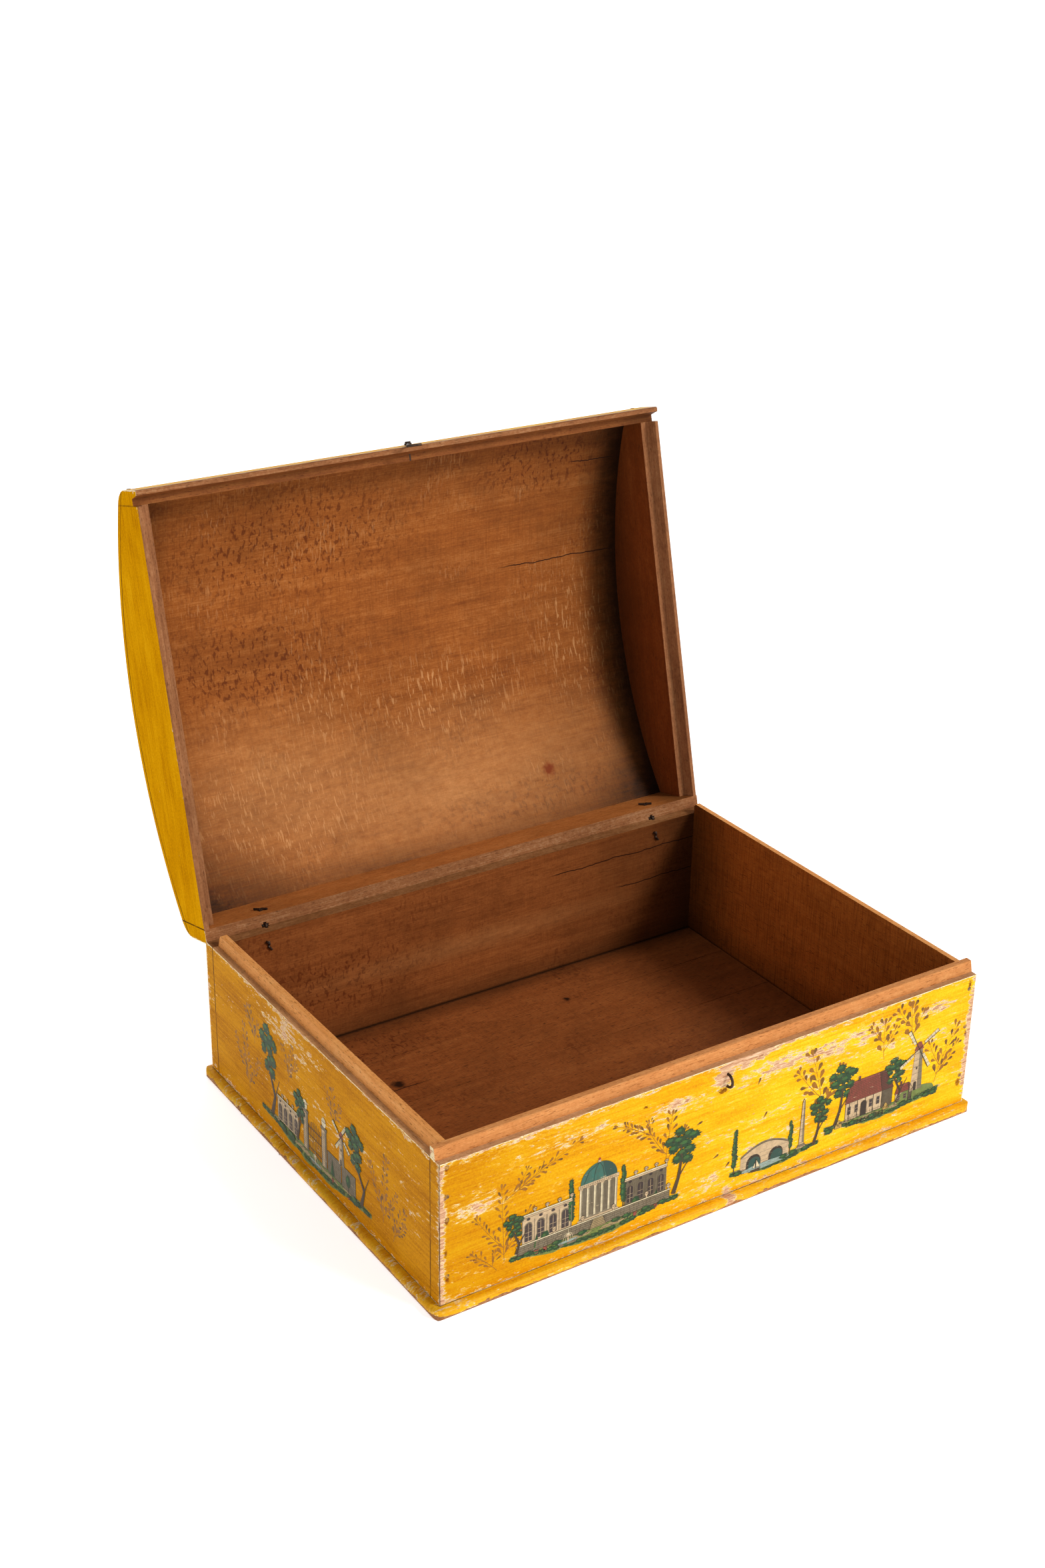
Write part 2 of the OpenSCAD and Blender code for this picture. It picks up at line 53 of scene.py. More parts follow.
# %% Sizes of the chest
MM = 0.001
HALF_W = 0.200  # half the length of the box
HALF_D = 0.148  # half its depth
BASE_T = 0.007  # thickness of the floor planks
JOINT = 0.1028  # height of the ledge that the lid meets
BOARD = 0.010  # thickness of the walls
PLANK_JOINTS = (0.042, 0.096)  # where the open joints between the planks lie
DOME_MIDDLE = Vector((0.0, 0.004, JOINT - 0.26304))  # centre of the dome's bend, lid shut
DOME_R = 0.32874  # outer radius of that bend
DOME_T = 0.004  # thickness of the dome's board
RAIL_SEAMS = (-HALF_D + 0.0101, HALF_D - 0.0096)  # where the rails end, on the lid's sides
PIVOT = Vector((0.0, 0.1465, JOINT))  # the hinge line
LID_OPEN = radians(103.84)  # how far the lid is laid back at rest

# The lid's patterns are drawn on the shut lid: this matrix takes a point back there
shut_turn = Matrix.Rotation(LID_OPEN, 3, "X")
shut_shift = PIVOT - shut_turn @ PIVOT
print("to shut the lid, turn it and shift it by", tuple(round(v, 3) for v in shut_shift))

# %% [markdown]
# ## Shader tools
#
# A picker shows colours in sRGB, but a shader adds light, so it works in linear numbers.
# One function does the change, and every hex colour passes through it.
#
# A second one adds a node. It is told what goes into the sockets, as a list in their order or
# by the sockets' own numbers or names: a number, or the output of another node. The node's
# settings follow by name, and a colour ramp's stops as places and hex colours.

# %% Two small helpers
def linear(hex_colour):
    srgb = [int(hex_colour[i:i + 2], 16) / 255 for i in (1, 3, 5)]
    return [v / 12.92 if v <= 0.04045 else ((v + 0.055) / 1.055) ** 2.4 for v in srgb] + [1.0]


def add(tree, kind, feeds, out=0, stops=(), **settings):
    node = tree.nodes.new("ShaderNode" + kind)
    for name, value in settings.items():
        setattr(node, name, value)
    for place, (at, hex_colour) in enumerate(stops):
        ramp = node.color_ramp.elements
        stop = ramp[place] if place < 2 else ramp.new(at)
        stop.position = at
        stop.color = linear(hex_colour)
    for socket, value in feeds.items() if isinstance(feeds, dict) else enumerate(feeds):
        if isinstance(value, bpy.types.NodeSocket):
            tree.links.new(value, node.inputs[socket])
        else:
            node.inputs[socket].default_value = value
    return node.outputs[out] if len(node.outputs) else node


print("the front's yellow in linear light:", [round(v, 3) for v in linear("#f4c128")])

# %% [markdown]
# Wood and brushed paint are full of marks that are long one way and fine the other. Noise
# does this well once space is squeezed: dividing a position by the size of the mark makes
# every blot as long, wide and deep as that size. So a mark is asked for in millimetres.
#
# The position comes from object coordinates, which are metres in the frame. For the lid they
# are first turned back to the shut lid, so its grain runs along its own boards.
#
# Three more helpers follow: marks that show only in scattered spots, how near a point is to a
# worn or stained place, and how far a number is from another.

# %% Marks of a given size, on the box or on the lid
def marks(tree, place, size, detail, roughness=0.55, distortion=0.0):
    squeezed = add(tree, "Mapping", {"Vector": place, "Scale": [1 / (MM * s) for s in size]})
    return add(tree, "TexNoise", {"Vector": squeezed, "Scale": 1.0, "Detail": detail,
                                  "Roughness": roughness, "Distortion": distortion})


def along(axis, length, width):
    size = [width, width, width]
    size[axis] = length
    return size


def scattered(tree, place, size, detail, roughness, low, high, most):
    # marks that show only where the noise is high: none below low, the most above high
    noise = marks(tree, place, size, detail, roughness)
    return add(tree, "MapRange", [noise, low, high, 0.0, most])


def near(tree, place, centre, size, strength=1.0):
    # 1 at the centre, fading to 0 at the rim of an oval whose half lengths are given
    offset = add(tree, "Mapping", {"Vector": place, "Scale": [1 / s for s in size],
                                   "Location": [-c / s for c, s in zip(centre, size)]})
    away = add(tree, "VectorMath", [offset], 1, operation="LENGTH")
    return add(tree, "MapRange", [away, 0.0, 1.0, strength, 0.0])


def apart(tree, number, other):
    return add(tree, "Math", [add(tree, "Math", [number, other], operation="SUBTRACT")],
               operation="ABSOLUTE")


print("a streak along the front, in millimetres:", along(0, 38, 0.8))

# %% [markdown]
# Every finish ends alike: a recipe gives a colour, a dullness and a height, and the shader and
# its bump take them. The bump's depth is in millimetres too. Gloss and metal are the same all
# over a surface, so they sit on the shader's own sockets.

# %% From a recipe to a material
def on_object(tree, lid):
    place = add(tree, "TexCoord", {}, out=3)
    if not lid:
        return place
    return add(
        tree, "Mapping",
        {"Vector": place, "Location": shut_shift, "Rotation": (LID_OPEN, 0.0, 0.0)})


def finish(name, recipe, lid=False, bump=0.15, gloss=0.2, strength=0.7, metallic=0.0):
    material = bpy.data.materials.new(name)
    material.use_nodes = True
    tree = material.node_tree
    tree.nodes.clear()
    colour, dullness, height = recipe(tree, on_object(tree, lid))
    relief = add(tree, "Bump", {"Height": height, "Strength": strength, "Distance": bump * MM})
    shader = add(tree, "BsdfPrincipled", {
        "Base Color": colour, "Roughness": dullness, "Normal": relief,
        "Specular IOR Level": gloss, "Metallic": metallic})
    add(tree, "OutputMaterial", {"Surface": shader})
    print(name, len(tree.nodes), "nodes")
    return material


# %% [markdown]
# ## Beech
#
# The boards are beech, sawn thin and planed by hand. Beech is plain: a close grain, with short
# dark dashes where its rays are cut, 2 to 4 mm long on a face sawn flat. On wood cut towards the
# heart the rays turn up as pale, shiny flecks across the grain instead. Long handling has
# browned the inside, so each place gets its own dark, middle and light tone, and a fourth for
# the dashes. Faces that turn from the key light get lighter tones, which are painted light, and
# some shaded faces darker ones, which are painted shade.
#
# The recipe mixes long fine streaks, broad wandering bands and a short nap, and drops the dashes
# on top. Then come saw marks, grime, pale and dark ovals, painted shade along edges, cracks and
# knots, each only where it is asked for. The pale ovals are a polished band on the back wall and
# painted light on the dome, the dark ones painted shade. Painted shade along an edge is an axis,
# a place on it, how far the dark reaches and how strong it is. A crack is an axis, from where to
# where along it, and a place on a second axis.

# %% Bare beech
def blend(tree, amount, under, hex_colour):
    return add(tree, "Mix", {0: amount, 6: under, 7: linear(hex_colour)}, 2, data_type="RGBA")


def beech(tree, place, tones, grain=0, dashes=0.6, cross=(), rays=(), saw=0.0, grime=0.4,
          touched=(), corners=(), cracks=(), knots=()):
    dark, middle, light, ray = tones
    streaks = marks(tree, place, along(grain, 38, 0.8), 5, 0.7)
    bands = marks(tree, place, along(grain, 190, 14), 2, 0.5, 1.2)
    figure = add(tree, "Mix", {0: 0.35, 2: streaks, 3: bands})
    mottle = marks(tree, place, along(grain, 9, 5), 5, 0.75)
    figure = add(tree, "Mix", {0: 0.35, 2: figure, 3: mottle})
    nap = marks(tree, place, (1.5, 1.5, 1.5), 3, 0.65)
    figure = add(tree, "Mix", {0: 0.2, 2: figure, 3: nap})
    colour = add(tree, "ValToRGB", [figure], stops=[(0.36, dark), (0.64, light), (0.5, middle)])
    dash = scattered(tree, place, along(grain, 4.4, 0.62), 1.5, 0.55, 0.6, 0.7, dashes)
    colour = blend(tree, dash, colour, ray)
    if saw:
        kerf = (0.9, 0.9, 30) if grain else (0.9, 30, 30)
        kerf = scattered(tree, place, kerf, 3, 0.7, 0.48, 0.66, saw)
        colour = blend(tree, kerf, colour, ray)
    if cross:
        colour = strokes_across(tree, place, colour, (2.4, 4.6, 4.6), 0.555, cross, "#58220a")
    if rays:
        colour = strokes_across(tree, place, colour, (1.3, 8.0, 8.0), 0.59, rays, "#d4975f")
    soil = scattered(tree, place, (70, 50, 50), 5, 0.7, 0.44, 0.76, grime)
    colour = blend(tree, soil, colour, "#42200c")
    # pale and dark ovals: a polished band, painted light and painted shade
    for centre, half, strength, tint in touched:
        amount = near(tree, place, centre, half, 2 * strength)
        amount = add(tree, "Math", [amount, mottle], operation="MULTIPLY")
        colour = blend(tree, amount, colour, tint)
    axes = add(tree, "SeparateXYZ", [place], slice(0, 3))
    # painted shade: darker along the planes where boards meet and where shadows fall
    for axis, at, reach, strength in corners:
        off = add(tree, "Math", [mottle, -0.5 * reach, apart(tree, axes[axis], at)],
                  operation="MULTIPLY_ADD")
        shade = add(tree, "MapRange", [off, -0.25 * reach, 0.75 * reach, strength, 0.0],
                    interpolation_type="SMOOTHSTEP")
        colour = blend(tree, shade, colour, "#180a03")
    for axis, span, over, at in cracks:
        colour = crack(tree, place, colour, axis, span, over, at)
    for centre, radius, heart in knots:
        colour = knot(tree, place, colour, centre, radius, heart)
    dull = add(tree, "MapRange", [streaks, 0.3, 0.7, 0.5, 0.68])
    height = add(tree, "Math", [streaks, dash], operation="SUBTRACT")
    height = add(tree, "Math", [height, nap], operation="ADD")
    return colour, dull, height


# %% [markdown]
# Across the dome's grain run two kinds of stroke: dark ones, where the plane tore the rays, and
# pale ones, where the rays lie open and shine. Each kind shows only in certain places, so an
# oval is given for each place, and broad noise lets a few appear elsewhere.
#
# A crack is a hairline that follows the grain and wanders a little. A knot is a dark spot with
# a ragged edge.

# %% Strokes across the grain, cracks and knots
def strokes_across(tree, place, colour, size, sparse, zones, hex_colour):
    mark = marks(tree, place, size, 1, 0.5, 0.7)
    mark = add(tree, "MapRange", [mark, sparse, sparse + 0.09])
    shown = scattered(tree, place, (50, 40, 40), 2, 0.55, 0.5, 0.66, 0.4)
    for centre, half in zones:
        inside = near(tree, place, centre, half)
        inside = add(tree, "MapRange", [inside, 0.0, 0.6, 0.0, 0.7])
        shown = add(tree, "Math", [shown, inside], operation="MAXIMUM")
    shown = add(tree, "Math", [mark, shown], operation="MULTIPLY")
    return blend(tree, shown, colour, hex_colour)


def crack(tree, place, colour, axis, span, cross, at):
    # a hairline along one axis between span[0] and span[1], wandering about its place
    axes = add(tree, "SeparateXYZ", [place], slice(0, 3))
    wander = marks(tree, place, along(axis, 14, 400), 3)
    wander = add(tree, "MapRange", {0: wander, 3: at - 2.5 * MM, 4: at + 2.5 * MM})
    line = add(tree, "MapRange", [apart(tree, axes[cross], wander), 0.22 * MM, 0.5 * MM, 1.0, 0.0])
    reach = add(tree, "MapRange", [axes[axis], span[0], span[1]])
    shown = add(tree, "Math", [line, reach], operation="MULTIPLY")
    return blend(tree, shown, colour, "#241008")


def knot(tree, place, colour, centre, radius, heart):
    away = add(tree, "VectorMath", [place, centre], 1, operation="DISTANCE")
    ragged = marks(tree, place, (3, 3, 3), 3)
    away = add(tree, "Math", [ragged, -0.8 * radius, away], operation="MULTIPLY_ADD")
    shown = add(tree, "MapRange", [away, -0.15 * radius, 0.35 * radius, 0.92, 0.0])
    return blend(tree, shown, colour, heart)


# %% [markdown]
# ## Yellow paint over gesso
#
# The wood was sized, coated with white chalk gesso and brushed with yellow in oil. What the
# eye reads is the wear: the paint thins where hands and shelves rubbed it, a white rim of
# gesso shows round each worn patch, and bare pinkish wood shows inside the rim.
#
# So one wear number is built from fine rubbing along the grain, broad patches, nearness to an
# edge and a few known spots, where the streaks are longer. At a first level the paint thins, at
# a second it is gone, and at a third the gesso goes too. The band between the last two draws
# the white rim by itself, and small chips of bare wood are scattered inside it.

# %% How far a point lies inside the edges of its face
def inset(tree, axes, spans):
    nearest = None
    for axis, (low, high) in spans.items():
        off = add(tree, "Math", [(high - low) / 2, apart(tree, axes[axis], (low + high) / 2)],
                  operation="SUBTRACT")
        nearest = off if nearest is None else add(tree, "Math", [nearest, off], operation="MINIMUM")
    return nearest


# %% The wear, from none to bare wood
def wear_of(tree, place, near_edge, grain, wear, spots):
    rub = marks(tree, place, along(grain, 8.5, 2.6), 4, 0.64, 0.3)
    streak = marks(tree, place, along(grain, 26, 1.7), 4, 0.62)
    patch = marks(tree, place, along(grain, 70, 16), 2)
    patch = add(tree, "Math", [patch, 0.8, -0.1], operation="MULTIPLY_ADD")
    level = add(tree, "Math", [rub, 1.2, patch], operation="MULTIPLY_ADD")
    edge = add(tree, "Math", [near_edge, rub], operation="MULTIPLY")
    level = add(tree, "Math", [edge, 0.42, level], operation="MULTIPLY_ADD")
    for centre, half, strength in spots:
        spot = near(tree, place, centre, half, 2.3 * strength)
        level = add(tree, "Math", [spot, streak, level], operation="MULTIPLY_ADD")
    return add(tree, "Math", [level, wear], operation="ADD")


# %% The yellow as it was brushed on
PLAIN_YELLOW = ("#cb8204", "#e79f07", "#f5b60d", "#fdcf2c")  # the paint's own yellow, with no painted shade
SHADED_YELLOW = ("#9a5c03", "#b06f04", "#c58306", "#d8990f")  # painted shade: a darker, browner copy of the yellow, for the box's ends turned from the light
HALF_SHADED_YELLOW = ("#aa6a04", "#c08104", "#d19205", "#dfa412")  # painted shade, less: a copy of the yellow between the two, for the lid's ends


def yellow(tree, place, axes, grain, tones, browned, pooled):
    brush = marks(tree, place, along(grain, 60, 1.2), 5, 0.7)
    cloud = marks(tree, place, along(grain, 40, 16), 4, 0.6)
    tone = add(tree, "Mix", {0: 0.45, 2: brush, 3: cloud})
    grit = marks(tree, place, (1.3, 1.3, 1.3), 3, 0.7)
    tone = add(tree, "Mix", {0: 0.3, 2: tone, 3: grit})
    paint = add(tree, "ValToRGB", [tone], stops=[
        (0.36, tones[0]), (0.64, tones[3]), (0.44, tones[1]), (0.52, tones[2])])
    # painted shade: the paint darkens towards one end of the face, as the light falls off there
    if browned:
        axis, start, end = browned
        amount = add(tree, "MapRange", [axes[axis], start, end, 0.95, 0.0])
        paint = add(tree, "Mix", {0: amount, 6: paint, 7: linear("#d0c060")}, 2,
                    data_type="RGBA", blend_type="MULTIPLY")
    # paint that ran down and pooled over the planks is thick and orange
    pool = add(tree, "Math", [cloud, -8 * MM, axes[2]], operation="MULTIPLY_ADD")
    pool = add(tree, "MapRange", [pool, BASE_T - 4 * MM, BASE_T + 2 * MM, pooled, 0.0])
    return blend(tree, pool, paint, "#d98603"), brush, cloud


# %% Lines where two boards meet
def seam_lines(tree, place, axes, colour, cloud, seams, arc):
    lines = [apart(tree, axes[axis], at) for axis, at in seams]
    if arc:
        flat = add(tree, "VectorMath", [place, (0.0, 1.0, 1.0)], operation="MULTIPLY")
        away = add(tree, "VectorMath", [flat, arc[0]], 1, operation="DISTANCE")
        lines.append(apart(tree, away, arc[1]))
    broken = add(tree, "MapRange", [cloud, 0.38, 0.52, 0.35, 1.0])
    for off in lines:
        line = add(tree, "MapRange", [off, 0.25 * MM, 0.7 * MM, 0.95, 0.0])
        line = add(tree, "Math", [line, broken], operation="MULTIPLY")
        colour = blend(tree, line, colour, "#4a2a10")
    return colour


# %% The whole coat, worn
THINS, GESSO, WOOD = 1.24, 1.36, 1.40  # wear at which paint thins, gesso shows, wood shows


def coat(tree, place, spans, grain=0, wear=0.0, spots=(), soil=0.35, seams=(), arc=None,
         tones=PLAIN_YELLOW, browned=None, pooled=0.6, stains=(), thinned="#f6d868"):
    axes = add(tree, "SeparateXYZ", [place], slice(0, 3))
    inside = inset(tree, axes, spans)
    near_edge = add(
        tree, "MapRange", [inside, 0.0, 6 * MM, 1.0, 0.0], interpolation_type="SMOOTHSTEP")
    paint, brush, cloud = yellow(tree, place, axes, grain, tones, browned, pooled)
    level = wear_of(tree, place, near_edge, grain, wear, spots)
    fleck = marks(tree, place, along(grain, 2.6, 1.0), 3, 0.7)
    level = add(tree, "Math", [fleck, 0.42, level], operation="MULTIPLY_ADD")
    thin = add(tree, "MapRange", [level, THINS, THINS + 0.14, 0.0, 0.5])
    paint = blend(tree, thin, paint, thinned)
    gesso = add(tree, "MapRange", [level, GESSO, GESSO + 0.02])
    bare_wood = add(tree, "MapRange", [level, WOOD, WOOD + 0.04])
    chips = marks(tree, place, along(grain, 2.6, 1.3), 2, 0.6)
    chips = add(tree, "Math", [level, 0.35, chips], operation="MULTIPLY_ADD")
    chips = add(tree, "MapRange", [chips, 1.1, 1.12, 0.0, 0.75])
    bare_wood = add(tree, "Math", [bare_wood, chips], operation="MAXIMUM")
    timber = marks(tree, place, along(grain, 8, 0.9), 4, 0.7)
    timber = add(tree, "ValToRGB", [timber], stops=[
        (0.36, "#a87350"), (0.64, "#e6c3a0"), (0.5, "#cf9f7a")])
    # along every edge a ragged thread of gesso shows
    rim = add(tree, "Math", [fleck, 2.6 * MM, -0.7 * MM], operation="MULTIPLY_ADD")
    rim = add(tree, "Math", [inside, rim], operation="LESS_THAN")
    gesso = add(tree, "Math", [gesso, rim], operation="MAXIMUM")
    colour = blend(tree, gesso, paint, "#efdcb0")
    colour = add(tree, "Mix", {0: bare_wood, 6: colour, 7: timber}, 2, data_type="RGBA")
    dirt = scattered(tree, place, along(grain, 4.5, 1.2), 6, 0.8, 0.58, 0.78, 1.6 * soil)
    colour = blend(tree, dirt, colour, "#7a4a10")
    for centre, half in stains:
        stain = near(tree, place, centre, half)
        stain = add(tree, "Math", [fleck, 1.6, stain], operation="MULTIPLY_ADD")
        stain = add(tree, "MapRange", [stain, 1.25, 1.55, 0.0, 0.85])
        colour = blend(tree, stain, colour, "#6b2806")
    colour = seam_lines(tree, place, axes, colour, cloud, seams, arc)
    dull = add(tree, "MapRange", {0: gesso, 3: 0.48, 4: 0.78})
    height = add(tree, "Math", [brush, gesso], operation="SUBTRACT")
    return colour, dull, height


# %% [markdown]
# The front wears hardest round the staple, where the hook has scraped, then in long streaks
# either side of it and down both corners, where the boards' ends were rubbed. Rust from the
# nails and the staple has run into the paint. Each such place is an oval, in millimetres: its
# centre along and up the front, its half lengths and, for wear, its strength.

# %% Worn and rusted places of the front
def ovals(*rows):
    return [((MM * x, -HALF_D, MM * z), (MM * long, 1.0, MM * high), *strength)
            for x, z, long, high, *strength in rows]


front_spots = ovals(
    (-3, 94, 12, 10, 0.62), (15, 102, 22, 9, 0.62), (46, 86, 46, 10, 0.3), (105, 85, 52, 10, 0.26),
    (122, 72, 44, 6, 0.22), (168, 88, 18, 6, 0.28), (-174, 66, 26, 12, 0.22),
    (-85, 88, 60, 8, 0.28), (-35, 85, 24, 8, 0.28), (-199, 55, 5, 62, 0.36),
    (199, 50, 5, 60, 0.38), (-12, 20, 34, 12, 0.2), (4.7, 10, 5, 5, 0.4), (-140, 22, 36, 8, 0.14))
front_stains = ovals(
    (-195, 99, 3, 5), (-196, 80, 2.4, 4), (-195, 63, 3, 4), (-196, 42, 2.4, 5), (-195, 24, 3, 5),
    (195, 97, 3, 6), (196, 60, 2.4, 5), (194, 24, 5, 6), (-3, 84, 9, 4), (-60, 92, 4, 2))
print(len(front_spots), "worn places,", len(front_stains), "stains")

# %% [markdown]
# A face is told between which lines it lies on two axes, so that its edges can wear. Where
# boards meet under the paint, a dark line shows: at the planks, at the corners, and on the lid's
# ends along the rails and under the bent board. Each seam is an axis and a place on it.

# %% Painted faces of the box and the lid
def painted(name, spans, lid=False, bump=0.2, gloss=0.05, **recipe):
    return finish("yellow_paint_" + name, lambda tree, place: coat(tree, place, spans, **recipe),
                  lid, bump, gloss)


LENGTH, DEPTH = (-HALF_W, HALF_W), (-HALF_D, HALF_D)
WALL, OVER = (BASE_T, JOINT), (JOINT, JOINT + 0.2)  # heights on the box, and on the lid
# the front: painted shade towards its left end
paint_front = painted(
    "front", {0: LENGTH, 2: WALL}, bump=0.22, gloss=0.04, wear=0.01, spots=front_spots,
    stains=front_stains, browned=(0, -HALF_W, 0.04), seams=[(2, BASE_T), (0, -HALF_W)])
# the box's ends: a darker yellow and thinned colour, painted shade for faces turned from the light
paint_side = painted("side", {1: DEPTH, 2: WALL}, gloss=0.02, grain=1, wear=-0.03, soil=0.6,
                     spots=[((0.0, -0.118, 0.045), (1.0, 0.022, 0.016), 0.24),
                            ((0.0, 0.03, 0.09), (1.0, 0.07, 0.014), 0.22)],
                     seams=[(1, BOARD - HALF_D), (1, HALF_D - BOARD), (2, BASE_T), (1, -HALF_D)],
                     tones=SHADED_YELLOW, thinned="#d9a030")
paint_back = painted("back", {0: LENGTH, 2: WALL}, seams=[(2, BASE_T)])
paint_lid_rail = painted(
    "lid_rail", {0: LENGTH, 2: OVER}, lid=True,
    spots=[((0.0, -HALF_D, JOINT), (0.4, 1.0, 0.009), 0.7)])
# the lid's ends: a less dark yellow and thinned colour, painted shade
paint_lid_end = painted(
    "lid_end", {1: DEPTH, 2: OVER}, lid=True, bump=0.12, gloss=0.0, grain=1, wear=-0.24, soil=0.3,
    tones=HALF_SHADED_YELLOW, thinned="#dcae2c", seams=[(1, at) for at in RAIL_SEAMS],
    arc=(DOME_MIDDLE, DOME_R - DOME_T))
paint_lid_top = painted("lid_top", {0: LENGTH, 1: DEPTH}, lid=True)

# %% [markdown]
# Inside, nothing was painted. Each board takes the tone that light and dust gave it: the lips
# stay pale where the lid rubs them, the walls and the dome are a warm brown, and the floor looks
# the darkest under the walls' painted shade. The sides' lips, ledges and inner walls turn from the
# key light and get lighter tones, painted light; the insides of the lid's front rail and ends get
# darker ones, painted shade.

# %% Bare boards, inside
def bare(name, tones, lid=False, **recipe):
    return finish(name, lambda tree, place: beech(tree, place, tones, **recipe), lid, 0.1, 0.07)


POLISH_AND_PAINTED_LIGHT = "#d9985c"  # painted light on the dome's lower part, where more light falls; on the back wall a polished band
PAINTED_SHADE = "#1c0c04"  # painted shade, in the dome's corners by its end boards and back rail
lip = bare("beech_lip", ("#bb743c", "#d38b4f", "#e5a465", "#8a4c24"), dashes=0.7, grime=0.15)
# painted light: lighter tones for the lips of the box's ends, which turn from the key light
lip_side = bare(
    "beech_lip_side_painted_light", ("#cf8242", "#e69b54", "#f2b06c", "#8e4d22"), grain=1, dashes=0.7, grime=0.15)
ledge = bare("beech_ledge", ("#a5754c", "#c79466", "#ddb083", "#6f4a2c"), grime=0.3)
# painted light: lighter tones for the ledges of the box's ends, which lie in the lips' shadow
ledge_side = bare(
    "beech_ledge_side_painted_light", ("#b27a4a", "#cf9a66", "#e6b684", "#714824"), grain=1, grime=0.3)
# the back wall inside: painted shade by its ends and along its foot
wall = bare("beech_wall_inside", ("#713a18", "#8f4f25", "#a86332", "#4c240d"), grime=0.4,
            saw=0.12, dashes=0.35, cross=[((-0.11, 0.138, 0.05), (0.11, 1.0, 0.035))],
            touched=[((0.0, 0.138, 0.05), (0.16, 1.0, 0.012), 0.2, POLISH_AND_PAINTED_LIGHT)],
            corners=[(0, 0.19, 0.15, 0.5), (0, 0.19, 0.045, 0.6), (0, -0.19, 0.02, 0.4),
                     (2, BASE_T, 0.025, 0.4), (2, BASE_T, 0.0025, 0.9)],
            cracks=[(0, (0.120, 0.128), 2, 0.059), (0, (0.062, 0.070), 2, 0.084)])
ledge_back = bare("beech_ledge_back", ("#69401f", "#8a5a34", "#a87a50", "#4a2812"), grime=0.4)
# painted light: lighter tones for the ends' inner walls, which turn from the key light; painted
# shade by the back wall and along the foot
wall_side = bare(
    "beech_side_inside_painted_light_and_shade", ("#aa591f", "#c16b29", "#d37c35", "#6b3312"), grain=1, grime=0.35,
    saw=0.55, corners=[(1, 0.138, 0.07, 0.72), (2, BASE_T, 0.03, 0.45), (2, BASE_T, 0.0025, 0.7)])
dome_knots = [((0.1032, 0.103, 0.149), 0.0085, "#7c300f")]
dome_cracks = [(0, (0.084, 0.100), 1, -0.0475), (0, (0.144, 0.150), 1, -0.1155)]
dome_dark = [((-0.08, -0.095, 0.15), (0.13, 0.055, 1.0)), ((-0.11, -0.015, 0.17), (0.1, 0.05, 1.0)),
             ((0.12, -0.12, 0.14), (0.07, 0.03, 1.0)), ((0.08, 0.118, 0.15), (0.12, 0.02, 1.0))]
dome_pale = [((0.03, 0.035, 0.17), (0.09, 0.04, 1.0)), ((-0.11, 0.085, 0.15), (0.1, 0.055, 1.0)),
             ((0.15, 0.01, 0.17), (0.05, 0.07, 1.0)), ((-0.06, 0.02, 0.17), (0.05, 0.04, 1.0))]
# the dome inside: painted shade along the right end board, the rails and the left end
dome = bare("beech_dome_inside", ("#7c3f17", "#9d5823", "#b9733a", "#6a3312"), lid=True,
            dashes=0.25, cross=dome_dark, rays=dome_pale, saw=0.3, grime=0.4,
            cracks=dome_cracks, knots=dome_knots,
            # pale ovals are painted light on the dome's lower part, dark ones painted shade in its
            # corners
            touched=[((0.02, 0.1, 0.15), (0.22, 0.07, 1.0), 0.45, POLISH_AND_PAINTED_LIGHT),
                     ((-0.12, 0.06, 0.15), (0.1, 0.06, 1.0), 0.3, POLISH_AND_PAINTED_LIGHT),
                     ((-0.185, 0.135, 0.13), (0.09, 0.045, 1.0), 0.7, PAINTED_SHADE),
                     ((0.19, 0.135, 0.13), (0.07, 0.03, 1.0), 0.8, PAINTED_SHADE)],
            corners=[(0, 0.192, 0.045, 0.97), (0, 0.192, 0.15, 0.3), (1, -0.138, 0.08, 0.25),
                     (0, -0.192, 0.03, 0.45), (1, 0.14, 0.02, 0.35)])
# the back rail inside: painted shade by the right end
rail = bare("beech_lid_rail_inside", ("#99572a", "#b66f36", "#cb864b", "#63330f"), lid=True,
            grime=0.35, corners=[(0, 0.19, 0.03, 0.6)])
# painted shade: darker tones for the lid's front rail inside, which faces down with the lid open,
# and more by the right end
rail_front = bare(
    "beech_lid_front_rail_inside_painted_shade", ("#6c3a1a", "#834b24", "#97602f", "#4a240d"), lid=True,
    grime=0.4, corners=[(0, 0.19, 0.03, 0.4)])
rail_lip = bare(
    "beech_lid_rail_lip", ("#744327", "#95603a", "#b98a62", "#4c2914"), lid=True, grime=0.35)
lid_lip = bare(
    "beech_lid_end_lip", ("#6f4127", "#94603c", "#ad7a52", "#4c2813"), lid=True, grain=1, grime=0.3)
# painted shade: darker tones for the lid's ends inside, which lie in shadow, and more where they
# meet the dome
lid_end = bare("beech_lid_end_inside_painted_shade", ("#662f0f", "#783a16", "#8a4a20", "#4a220c"), lid=True,
               grain=1, grime=0.35, corners=[(2, JOINT + 0.06, 0.04, 0.5)])
under = bare("beech_underside", ("#6a4a30", "#8d6a4a", "#a58463", "#4a3018"), grime=0.6)

# %% [markdown]
# A floor plank is bare wood inside the walls and painted where it stands out past them. Both
# lie on one flat face, so the shader changes from one to the other at the wall's outer face.
# Low down the rim has worn to bare brown wood, along a line that noise makes uneven.

# %% Floor planks
def change_over(tree, amount, before, after):
    # the colours, dullnesses and heights of two finishes, mixed by one amount
    colour = add(tree, "Mix", {0: amount, 6: before[0], 7: after[0]}, 2, data_type="RGBA")
    return [colour] + [
        add(tree, "Mix", {0: amount, 2: a, 3: b}) for a, b in zip(before[1:], after[1:])]


